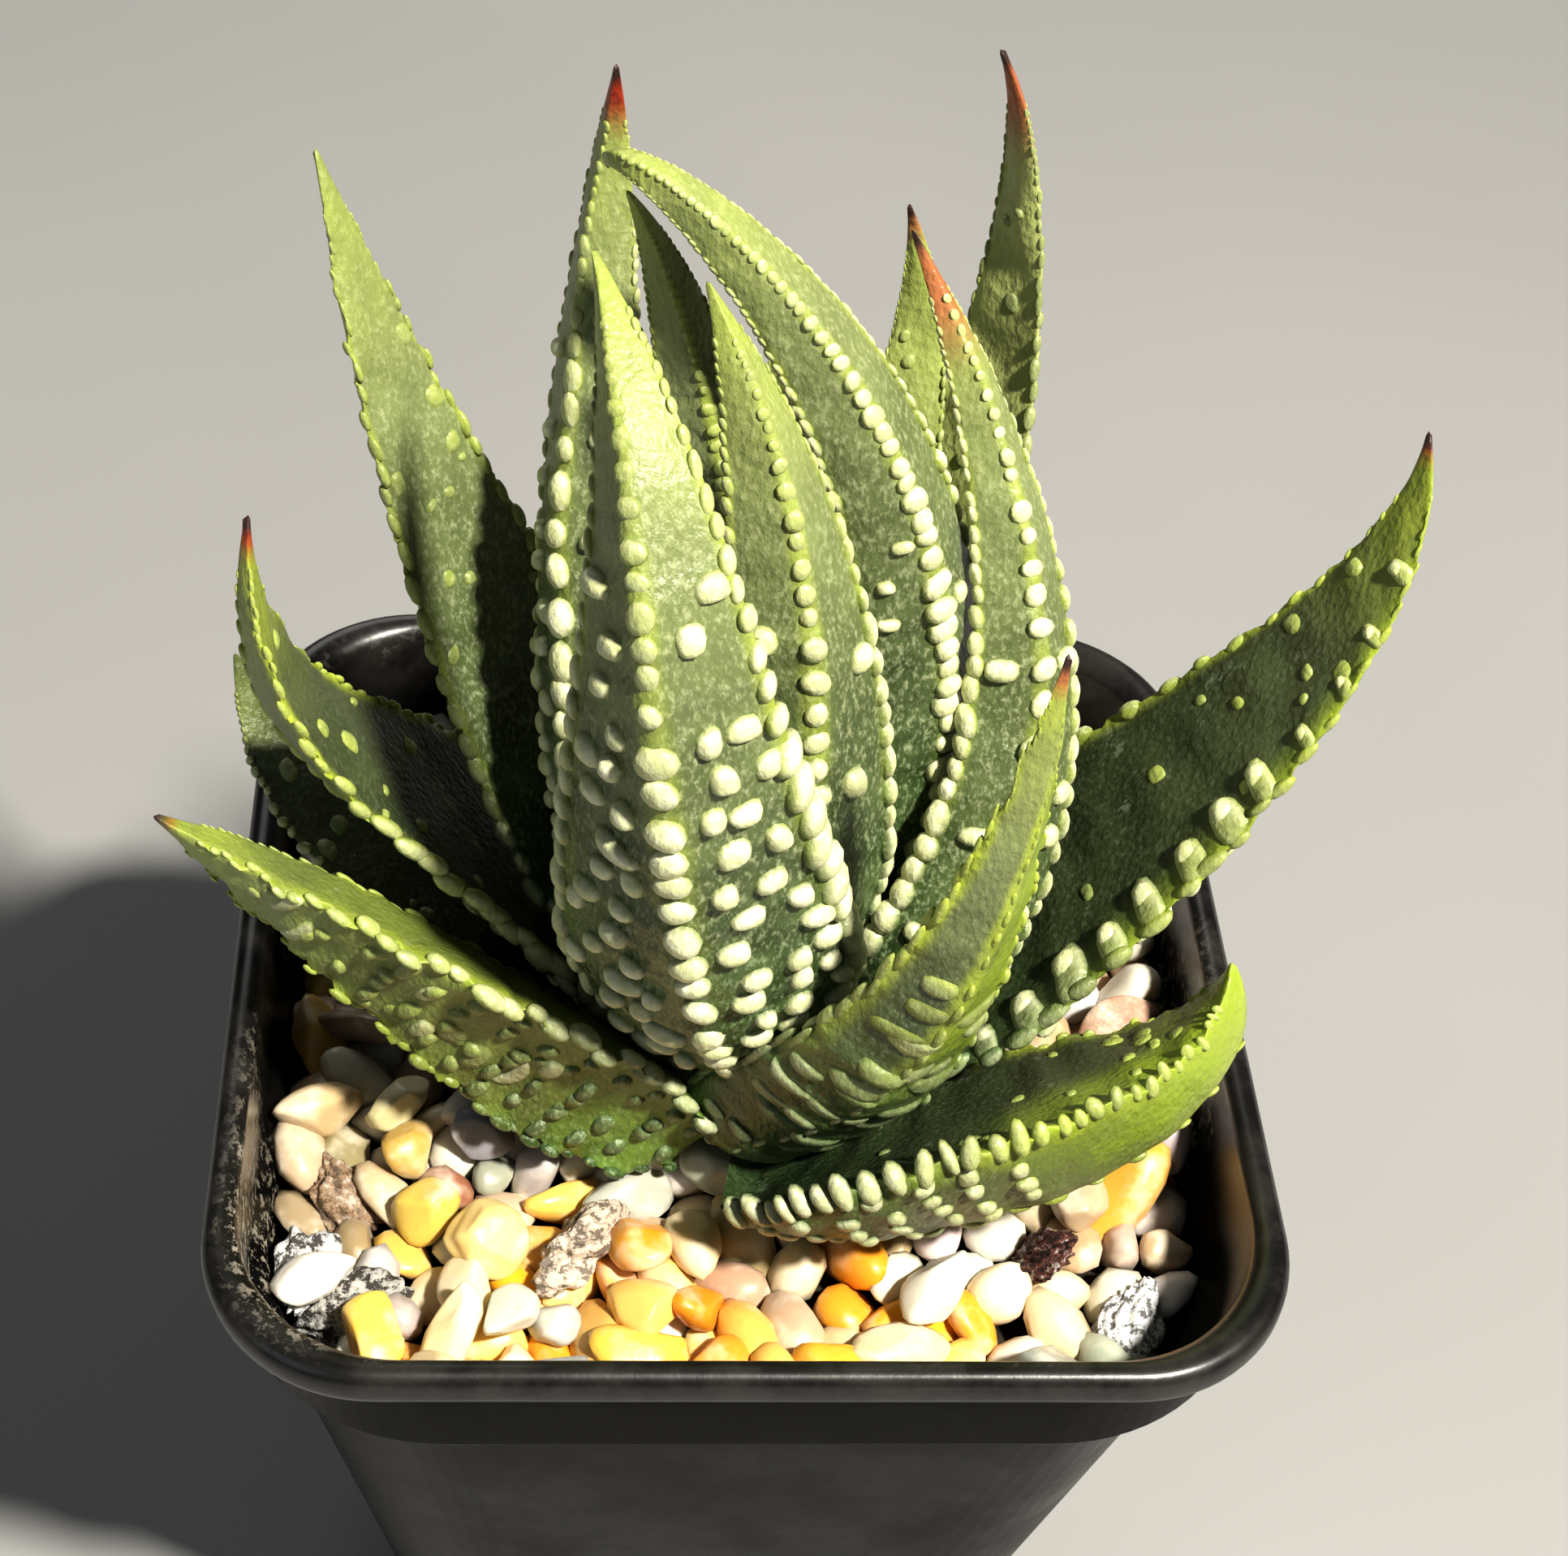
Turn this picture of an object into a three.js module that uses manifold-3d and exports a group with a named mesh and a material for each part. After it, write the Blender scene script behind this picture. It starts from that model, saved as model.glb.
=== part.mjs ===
// A potted haworthia: a square plastic nursery pot, potting soil, a top layer of gravel, a short stem
// and a rosette of thick pointed leaves with rows of pale bumps on their backs and edges.
// Millimetres, +Z up. The origin is the middle of the pot's underside, and its front faces -Y.
import * as THREE from "three";
import { mergeVertices } from "three/addons/utils/BufferGeometryUtils.js";
import Module from "manifold-3d";

// Pot
const potHeight = 76;
const rimHalf = 40;
const rimCorner = 13;
const rimDepth = 3;
const rimInnerHalf = 37.6;
const collarHalf = 38.9;
const collarCorner = 16.5;
const collarDepth = 10.6;
const bodyTopHalf = 37.9;
const bodyTopCorner = 19;
const baseHalf = 27;
const baseCorner = 17.5;
const wall = 1.3;
const floorThickness = 1.6;
const drainRadius = 3;
const drainReach = 17;
const footRound = 1.2;
const ledgeRise = 0.6;
const rimRound = 1.2;
const rimEase = 0.3;

// Filling and stem
const seat = 0.35;
const soilTop = 60.5;
const gravelBottom = soilTop + seat;
const gravelTop = 68;
const bedTop = 66.6;
const bedCorner = 9;
const pebblePitch = 5.8;
const pebbleRadii = [3.7, 3, 2.5];
const pebbleSizes = [0.85, 1.15];
const pebbleRise = [-0.5, 0.8];
const pebbleDrift = 2;
const pebbleTilt = 0.6;
const pebbleSeed = 11;
const plantY = -8;
const stemRootRadius = 4;
const stemBottom = 49;
const stemShoulder = 3;
const crownRadius = 3;
const crownTaper = 0.13;
const crownHeight = 12.5;
const crownTip = 1;
const roundSides = 20;

// Leaf sections: the back is bulged and keeled, the inner face is a shallow channel that fills out.
const rowPitch = 2.3;
const lastRow = 0.965;
const tipHalfWidth = 0.3;
const widestAt = 0.25;
const rootWidth = 0.32;
const backDepth = [0.45, 0.32];
const leastDepth = 0.6;
const channelDepth = [0.2, -0.25];
const keelSharpness = [0.35, 1, 0.9];
const backLean = -0.6;
const backColumns = [-1, -0.6, 0, 0.6, 1];
const innerColumns = [0.6, 0, -0.6];
const bumpHeight = 0.75;
const bumpStart = 0.12;
const bumpEnd = 0.92;
const bumpFade = 0.3;
const leastBump = 0.35;

// Each leaf: root, two guide points and tip of its middle line, in mm from the plant's foot on the
// gravel; the compass direction in degrees that its back faces at the root (-90 is the front); how far
// it twists by the tip; its width; and how its edges run out to the tip (1 is straight). Some have a
// wider root, a back that leans more or less down, or a deeper keel (a factor).
const leaves = {
  front_left: { line: [[-3.5, -14, 2.6], [-2, -20, 0], [-32, -12.5, 23], [-43, -11, 33.7]],
    facing: 270, twist: -23, width: 14.2, taper: 1.6, lean: -0.28, depth: 1.6 },
  front_sweep: { line: [[-1, -15, 5], [2, -15, 10], [13, -26, 20], [15, -24, 63]],
    facing: -120, twist: 58, width: 13, taper: 1.1, root: 0.85 },
  front_right: { line: [[0, -18, 2], [16, -19.7, 17], [33.3, -17.5, 13], [34.8, -13.5, 23]],
    facing: -43, twist: 0, width: 19, taper: 2.35, root: 0.5, lean: -0.93, depth: 1.6 },
  heart_front: { line: [[-1, -12, 11], [-9, -22, 49], [-8, -22, 67], [-14, -4, 77]],
    facing: -86, twist: -22, width: 20, taper: 1.3, root: 0.45, depth: 1.2 },
  heart_inner: { line: [[2, -11, 16], [-3, -14, 17], [7, -13, 46], [-7, -4, 75]],
    facing: -72, twist: 19, width: 15, taper: 1.4 },
  heart_back: { line: [[-3, -6, 9], [1, -2, 40], [-7, 6, 67], [-12, 1, 78]],
    facing: -84, twist: 1, width: 13, taper: 1.3 },
  heart_tip: { line: [[-3, -10, 12], [-2, -9, 29], [-1, -8, 44], [-9, -5, 58]],
    facing: -101, twist: 0, width: 9, taper: 1.2 },
  arching: { line: [[4, -8, 13], [25, 3, 55], [-16, -6, 90], [-13, 5, 77]],
    facing: -67, twist: -13, width: 12, taper: 1.4 },
  tall_left: { line: [[-4.2, -8.9, 10], [-17, -10, 44], [-12, 17, 64], [-12.7, 9, 82]],
    facing: -133, twist: 16, width: 15, taper: 1.3 },
  tall_far_left: { line: [[-3, -3, 8], [-17, 3, 30], [-25, 7, 48], [-32, 12, 73]],
    facing: 134, twist: 8, width: 16, taper: 1.3 },
  tall_right: { line: [[4, -6, 7], [15, 12.5, 36], [19, 16, 69.5], [12.5, 15, 80.8]],
    facing: 39, twist: -2, width: 14, taper: 1.2 },
  tall_right_inner: { line: [[3, -5, 9], [3, 3, 39], [14, 18, 51], [8, 16, 68]],
    facing: 75, twist: -3, width: 11.5, taper: 1.3 },
  right_upright: { line: [[5, -10.8, 4.3], [16.3, -16, 27.2], [25, -2.7, 39.8], [7, 7, 72]],
    facing: -96, twist: 12, width: 12, taper: 1.2 },
  wide_right: { line: [[6, -6.5, 3.8], [29, -2, 27], [45, -4, 48], [44, 3, 60]],
    facing: 15, twist: 12, width: 20, taper: 1.3 },
  left_mid: { line: [[-5, -8, 5.3], [-16, 10, 22], [-36, -13, 33], [-35.8, -5, 56]],
    facing: 172, twist: -6, width: 18, taper: 1.2 },
  left_low: { line: [[-5, -4, 3], [-17, 10, 16], [-29, -10, 18], [-40, 13, 27]],
    facing: 154, twist: -21, width: 16.5, taper: 1.5 },
  left_small: { line: [[-6, -7.5, 3], [-19, 4, 8], [-27, -4, 8], [-31, -3, 17]],
    facing: 176, twist: -7, width: 10, taper: 1.2 },
  right_low: { line: [[6, -5, 2], [15, -1, 8], [21, 5, 15], [30, 8, 22]],
    facing: 39, twist: 4, width: 13, taper: 1.25 },
  back_right: { line: [[2, -3, 4], [6.6, 11.5, 20], [17, 14, 35], [15, 24, 44]],
    facing: 52, twist: 5, width: 14, taper: 1.25 },
  back_mid: { line: [[0, -4, 8.5], [-2, 4, 25], [2, 10, 42], [0, 18, 57]],
    facing: 103, twist: -1, width: 14, taper: 1.25 },
  back_left: { line: [[-1, -3, 5], [-4, 7, 20], [-11, 15, 33], [-7, 26, 42]],
    facing: 96, twist: -1, width: 13.5, taper: 1.25 },
  back_low: { line: [[0, -2, 2], [4, 7, 8], [4, 17, 18], [3, 31, 26]],
    facing: 91, twist: 1, width: 14, taper: 1.25 },
};

const plastic = { color: 0x131415, roughness: 0.42, metalness: 0 };
const earth = { color: 0x2b2019, roughness: 0.95, metalness: 0 };
const quartz = { color: 0xd8cbb0, roughness: 0.5, metalness: 0 };
const stemGreen = { color: 0x66713f, roughness: 0.7, metalness: 0 };
const leafGreen = { color: 0x55652f, roughness: 0.45, metalness: 0 };

const wasm = await Module();
wasm.setup();
const { clamp, degToRad, lerp } = THREE.MathUtils;

// A closed mesh as a solid, with doubled corners merged and flat triangles left out.
const sameCorner = 1e-4;
function solidOf(geometry) {
  const bare = geometry.index ? geometry.clone() : mergeVertices(geometry);
  bare.deleteAttribute("normal");
  bare.deleteAttribute("uv");
  const merged = mergeVertices(bare, sameCorner);
  const kept = [];
  const corners = merged.index.array;
  for (let i = 0; i < corners.length; i += 3) {
    const [a, b, c] = corners.slice(i, i + 3);
    if (a !== b && b !== c && c !== a) kept.push(a, b, c);
  }
  return new wasm.Manifold(new wasm.Mesh({
    numProp: 3,
    vertProperties: new Float32Array(merged.attributes.position.array),
    triVerts: new Uint32Array(kept),
  }));
}

function geometryOf(solid) {
  const mesh = solid.getMesh();
  const geometry = new THREE.BufferGeometry();
  geometry.setAttribute("position", new THREE.BufferAttribute(mesh.vertProperties, 3));
  geometry.setIndex(new THREE.BufferAttribute(mesh.triVerts, 1));
  return geometry;
}

function namedMesh(name, solid, look) {
  const geometry = geometryOf(solid);
  geometry.computeVertexNormals();
  const mesh = new THREE.Mesh(geometry, new THREE.MeshStandardMaterial(look));
  mesh.name = name;
  return mesh;
}

// A point on a square with rounded corners, a share of the way round it.
const cornerSteps = 6;
const squareSteps = 4 * (cornerSteps + 2);
function roundedSquare(step, half, corner) {
  const quarter = Math.floor(step / (cornerSteps + 2)) % 4;
  const local = step % (cornerSteps + 2);
  const arc = clamp(local - 1, 0, cornerSteps) / cornerSteps;
  const angle = arc * Math.PI / 2;
  const flat = half - corner;
  const point = new THREE.Vector2(flat + corner * Math.cos(angle), flat + corner * Math.sin(angle));
  if (local === 0) point.set(half, 0);
  return point.rotateAround(new THREE.Vector2(), quarter * Math.PI / 2);
}

// A lathe turned into a rounded square: each profile point is [half width, height, corner radius].
function squareLathe(profile) {
  const outline = profile.map(([half, z]) => new THREE.Vector2(half, z));
  const geometry = new THREE.LatheGeometry(outline, squareSteps);
  const position = geometry.attributes.position;
  for (let i = 0; i < position.count; i += 1) {
    const [half, z, corner] = profile[i % profile.length];
    const step = Math.floor(i / profile.length);
    const { x, y } = roundedSquare(step, half, corner);
    position.setXYZ(i, x, y, z);
  }
  return solidOf(geometry);
}

// How far the pot's outer side and corner have narrowed at a height below the collar.
const bodyTop = potHeight - collarDepth;
const bodyHalfAt = (z) => lerp(baseHalf, bodyTopHalf, z / bodyTop);
const bodyCornerAt = (z) => lerp(baseCorner, bodyTopCorner, z / bodyTop);

function potSolid() {
  const lip = (rimHalf - rimInnerHalf) / 2;
  const lipMiddle = rimInnerHalf + lip;
  const innerTop = bodyTopHalf - wall;
  const profile = [
    [0, 0, 0],
    [baseHalf - footRound, 0, baseCorner - footRound],
    [baseHalf, footRound, baseCorner],
    [bodyTopHalf, bodyTop, bodyTopCorner],
    [collarHalf, bodyTop + ledgeRise, collarCorner],
    [collarHalf, potHeight - rimDepth, collarCorner],
    [rimHalf - rimEase, potHeight - rimDepth + rimEase, rimCorner],
    [rimHalf, potHeight - rimRound, rimCorner],
    [rimHalf - rimRound / 2, potHeight - rimEase, rimCorner - rimRound / 2],
    [lipMiddle, potHeight, rimCorner - lip],
    [rimInnerHalf + rimEase, potHeight - rimEase, rimCorner - lip],
    [rimInnerHalf, potHeight - rimRound, rimCorner],
    [rimInnerHalf - rimEase, bodyTop + ledgeRise, collarCorner - wall],
    [innerTop, bodyTop - ledgeRise, bodyTopCorner - wall],
    [bodyHalfAt(floorThickness) - wall, floorThickness, baseCorner - wall],
    [0, floorThickness, 0],
  ];
  let pot = squareLathe(profile);
  for (const [x, y] of [[1, 1], [-1, 1], [-1, -1], [1, -1]]) {
    const drill = new THREE.CylinderGeometry(drainRadius, drainRadius, 4 * floorThickness, roundSides);
    drill.rotateX(Math.PI / 2);
    drill.translate(x * drainReach, y * drainReach, 0);
    pot = pot.subtract(solidOf(drill));
  }
  return pot;
}

// The inside of the pot at a height, less the gap that a filling keeps to it.
const fillHalf = (z) => bodyHalfAt(z) - wall - seat;
const fillCorner = (z) => bodyCornerAt(z) - wall;

function soilSolid() {
  const low = floorThickness + seat;
  const soil = squareLathe([
    [0, low, 0],
    [fillHalf(low), low, fillCorner(low)],
    [fillHalf(soilTop), soilTop, fillCorner(soilTop)],
    [0, soilTop, 0],
  ]);
  return soil.subtract(stemHole(stemBottom - seat));
}

// A round plug that cuts the hole for the stem, from a height up past the gravel.
function stemHole(bottom) {
  const radius = stemRootRadius + seat;
  const plug = new THREE.CylinderGeometry(radius, radius, potHeight, roundSides);
  plug.rotateX(Math.PI / 2);
  plug.translate(0, plantY, bottom + potHeight / 2);
  return solidOf(plug);
}

const crownRadiusAt = (height) => crownRadius - crownTaper * height;

function stemSolid() {
  const outline = [
    [0, stemBottom],
    [stemRootRadius, stemBottom],
    [stemRootRadius, gravelTop - stemShoulder],
    [crownRadius, gravelTop],
    [crownRadiusAt(crownHeight), gravelTop + crownHeight],
    [0, gravelTop + crownHeight + crownTip],
  ].map(([x, y]) => new THREE.Vector2(x, y));
  const stem = new THREE.LatheGeometry(outline, roundSides);
  stem.rotateX(Math.PI / 2);
  stem.translate(0, plantY, 0);
  return solidOf(stem);
}

// A number between 0 and 1 that is the same on every run.
function seededRandom(seed) {
  const multiplier = 16807;
  const modulus = 2147483647;
  let state = seed;
  return () => {
    state = (state * multiplier) % modulus;
    return state / modulus;
  };
}

function gravelSolid(plant) {
  let gravel = squareLathe([
    [0, gravelBottom, 0],
    [fillHalf(gravelBottom), gravelBottom, fillCorner(gravelBottom)],
    [fillHalf(bedTop) - 0.2, bedTop, fillCorner(bedTop)],
    [0, bedTop, 0],
  ]);
  const random = seededRandom(pebbleSeed);
  const reach = fillHalf(bedTop) - pebbleRadii[0];
  const rows = Math.floor(2 * reach / pebblePitch);
  const step = 2 * reach / rows;
  for (let row = 0; row <= rows; row += 1) {
    for (let column = 0; column <= rows; column += 1) {
      const shift = row % 2 ? step / 2 : 0;
      const x = -reach + column * step + shift + (random() - 0.5) * pebbleDrift;
      const y = -reach + row * step + (random() - 0.5) * pebbleDrift;
      const size = lerp(...pebbleSizes, random());
      const z = bedTop + lerp(...pebbleRise, random());
      const turn = new THREE.Euler(random() * pebbleTilt, random() * pebbleTilt, random() * Math.PI);
      const flat = reach - bedCorner;
      const inCorner = Math.hypot(Math.max(0, Math.abs(x) - flat), Math.max(0, Math.abs(y) - flat));
      const outside = Math.abs(x) > reach || inCorner > bedCorner;
      if (outside) continue;
      const shape = (grow) => {
        const stone = new THREE.IcosahedronGeometry(1, 0);
        stone.scale(...pebbleRadii.map((radius) => radius * size + grow));
        stone.applyMatrix4(new THREE.Matrix4().makeRotationFromEuler(turn));
        stone.translate(x, y, z);
        return solidOf(stone);
      };
      if (shape(seat).intersect(plant).isEmpty()) gravel = gravel.add(shape(0));
    }
  }
  return gravel.subtract(stemHole(stemBottom));
}

function leafWidthAt(leaf, s) {
  const root = leaf.root ?? rootWidth;
  const rise = lerp(root, 1, Math.sin(Math.PI / 2 * Math.min(1, s / widestAt)));
  const fall = 1 - clamp((s - widestAt) / (1 - widestAt), 0, 1) ** leaf.taper;
  return leaf.width / 2 * rise * fall + tipHalfWidth;
}

// How far a bump stands out: along the edges on every second row, and on the keel and the two halves
// of the back by turns, from near the root until close to the tip.
function bumpAt(row, column, s) {
  const bumped = row % 4 === 0 ? [0, 2, 4] : [0, 1, 3, 4];
  if (row % 2 || !bumped.includes(column) || s < bumpStart || s > bumpEnd) return 0;
  return bumpHeight * clamp((bumpEnd - s) / bumpFade, leastBump, 1);
}

// The ring of points round a leaf at a row: over the back from edge to edge, then along the inner face.
function leafRing(leaf, row, s) {
  const half = leafWidthAt(leaf, s);
  const depth = Math.max(leastDepth, half * (backDepth[0] + backDepth[1] * s) * (leaf.depth ?? 1));
  const channel = half * (channelDepth[0] + channelDepth[1] * s);
  const keel = Math.min(keelSharpness[2], keelSharpness[0] + keelSharpness[1] * s);
  const ring = [];
  for (const [column, across] of backColumns.entries()) {
    const round = Math.sqrt(1 - across * across);
    const bulge = (1 - keel) * round + keel * (1 - Math.abs(across));
    const bump = bumpAt(row, column, s);
    ring.push([half * across + bump * across, depth * bulge + bump * round]);
  }
  for (const across of innerColumns) ring.push([half * across, channel * (1 - across * across)]);
  return ring;
}

function leafSolid(leaf) {
  const line = leaf.line.map(([x, y, height]) => new THREE.Vector3(x, y, gravelTop + height));
  const curve = new THREE.CubicBezierCurve3(...line);
  const rows = Math.round(curve.getLength() / rowPitch);
  const around = backColumns.length + innerColumns.length;
  const geometry = new THREE.SphereGeometry(1, around, rows + 1);
  const position = geometry.attributes.position;
  const put = (row, column, point) => position.setXYZ(row * (around + 1) + column, ...point);

  const facing = degToRad(leaf.facing);
  const back = new THREE.Vector3(Math.cos(facing), Math.sin(facing), leaf.lean ?? backLean);
  for (let row = 1; row <= rows; row += 1) {
    const s = lastRow * (row - 1) / (rows - 1);
    const middle = curve.getPointAt(s);
    const along = curve.getTangentAt(s);
    back.addScaledVector(along, -back.dot(along)).normalize();
    const out = back.clone().applyAxisAngle(along, degToRad(leaf.twist) * s);
    const side = new THREE.Vector3().crossVectors(along, out);
    const ring = leafRing(leaf, row, s);
    for (let column = 0; column <= around; column += 1) {
      const [across, outward] = ring[(around - column) % around];
      put(row, column, middle.clone().addScaledVector(side, across).addScaledVector(out, outward));
    }
  }
  const root = line[0];
  const height = Math.min(root.z, gravelTop + crownHeight - seat);
  const toRoot = new THREE.Vector2(root.x, root.y - plantY).setLength(
    crownRadiusAt(height - gravelTop) + seat);
  for (let column = 0; column <= around; column += 1) {
    put(0, column, [toRoot.x, toRoot.y + plantY, height]);
    put(rows + 1, column, line[3]);
  }
  return solidOf(geometry);
}

const leafSolids = Object.entries(leaves).map(([name, leaf]) => [name, leafSolid(leaf)]);
const plant = leafSolids.map(([, solid]) => solid).reduce((all, solid) => all.add(solid));

const object = new THREE.Group();
object.add(namedMesh("pot", potSolid(), plastic));
object.add(namedMesh("soil", soilSolid(), earth));
object.add(namedMesh("gravel", gravelSolid(plant), quartz));
object.add(namedMesh("stem", stemSolid(), stemGreen));
for (const [name, solid] of leafSolids) object.add(namedMesh(`leaf_${name}`, solid, leafGreen));

export default object;
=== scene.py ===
# A potted haworthia: fine leaves with pearly bumps, loose gravel and a satin black pot, dressed
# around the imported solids. Lengths are in millimetres until a mesh is made, which is in metres.
from math import cos, pi, radians, sin, sqrt

import bmesh
import bpy
import numpy as np
from mathutils import Matrix, Vector
from numpy.linalg import norm


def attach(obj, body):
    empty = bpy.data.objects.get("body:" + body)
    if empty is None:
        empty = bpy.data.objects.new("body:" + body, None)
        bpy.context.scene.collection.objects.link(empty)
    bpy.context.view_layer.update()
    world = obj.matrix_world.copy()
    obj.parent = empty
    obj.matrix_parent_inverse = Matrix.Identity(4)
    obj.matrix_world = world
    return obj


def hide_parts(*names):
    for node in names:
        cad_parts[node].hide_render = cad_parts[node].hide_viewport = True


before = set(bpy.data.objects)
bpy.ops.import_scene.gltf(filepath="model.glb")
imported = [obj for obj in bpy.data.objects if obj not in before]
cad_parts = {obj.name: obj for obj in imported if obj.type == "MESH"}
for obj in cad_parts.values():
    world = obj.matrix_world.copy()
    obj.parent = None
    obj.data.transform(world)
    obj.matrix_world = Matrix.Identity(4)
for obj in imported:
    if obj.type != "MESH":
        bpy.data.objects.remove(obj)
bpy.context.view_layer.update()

MM = 0.001

# Pot
pot_height = 76
rim_half = 40
rim_corner = 13
rim_depth = 3
rim_inner_half = 37.6
collar_half = 38.9
collar_corner = 16.5
collar_depth = 10.6
body_top = pot_height - collar_depth
body_top_half = 37.9
body_top_corner = 19
neck = pot_height - rim_depth
base_half = 27
base_corner = 17.5
wall = 1.3
floor_thickness = 1.6
drain_radius = 3
drain_reach = 17

# Filling and stem
soil_top = 60.5
gravel_top = 68
plant_y = -8
stem_radius = 4
crown_radius = 3
crown_taper = 0.13
crown_height = 12.5
stem_gap = 0.35

# Leaf sections
tip_half_width = 0.3
widest_at = 0.25
back_depth = (0.45, 0.32)
least_depth = 0.6
channel_depth = (0.2, -0.25)
keel_sharpness = (0.35, 1, 0.9)
margin_radius = 0.3
keel_softness = 0.1
row_pitch = 0.8
leaf_columns = 56
first_leaf_seed = 100


# A leaf's shape, as in the solids: the root, two guides and tip of its middle line above the gravel, the
# way its back faces in degrees, its twist, width and taper; by name, shares for its root's width and its
# depth, and how much its back leans down.
# Its looks: how pale its bumps are; by name, how far up the back they reach, how much further up the
# rows stay pale (white), how yellow its upper part is, which also sets how strongly its edges and tip are
# painted with a backlit glow, how long its dry tip is and how brown (0 is red), how far its edges wave in
# mm (frill) and from what cosine their painted glow starts, how much its inner face is painted darker as
# shade (slate), and whether the scaly side is the back (1) or the inner face (-1). Rows of
# bumps on the edges and keel have their spacing, size, paleness and stretch, and the face's scattered
# bumps their number, size, paleness and height. Sun is the angle of the side painted yellow-green as
# sunlit, the cosines between which that painted sunlight comes in, its strength and its start. Ridges
# are crescents: from, to, their share and paleness.
def blade(line, facing, twist, width, taper, pale, **others):
    plain = dict(root=0.32, depth=1, lean=-0.6, reach=0.6, white=0, yellow=0.7, dry=0, brown=0, frill=0.12,
                 glow=0.84, slate=1, scaly=1, edges=(1, 1, 1, 1), keel=(1, 1, 1, 1), face=(1, 1, 1, 1),
                 sun=(0, 1, 2, 0, 0), ridges=None, teeth=False)
    shape = dict(line=line, facing=facing, twist=twist, width=width, taper=taper, pale=pale)
    return {**plain, **shape, **others}


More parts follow.
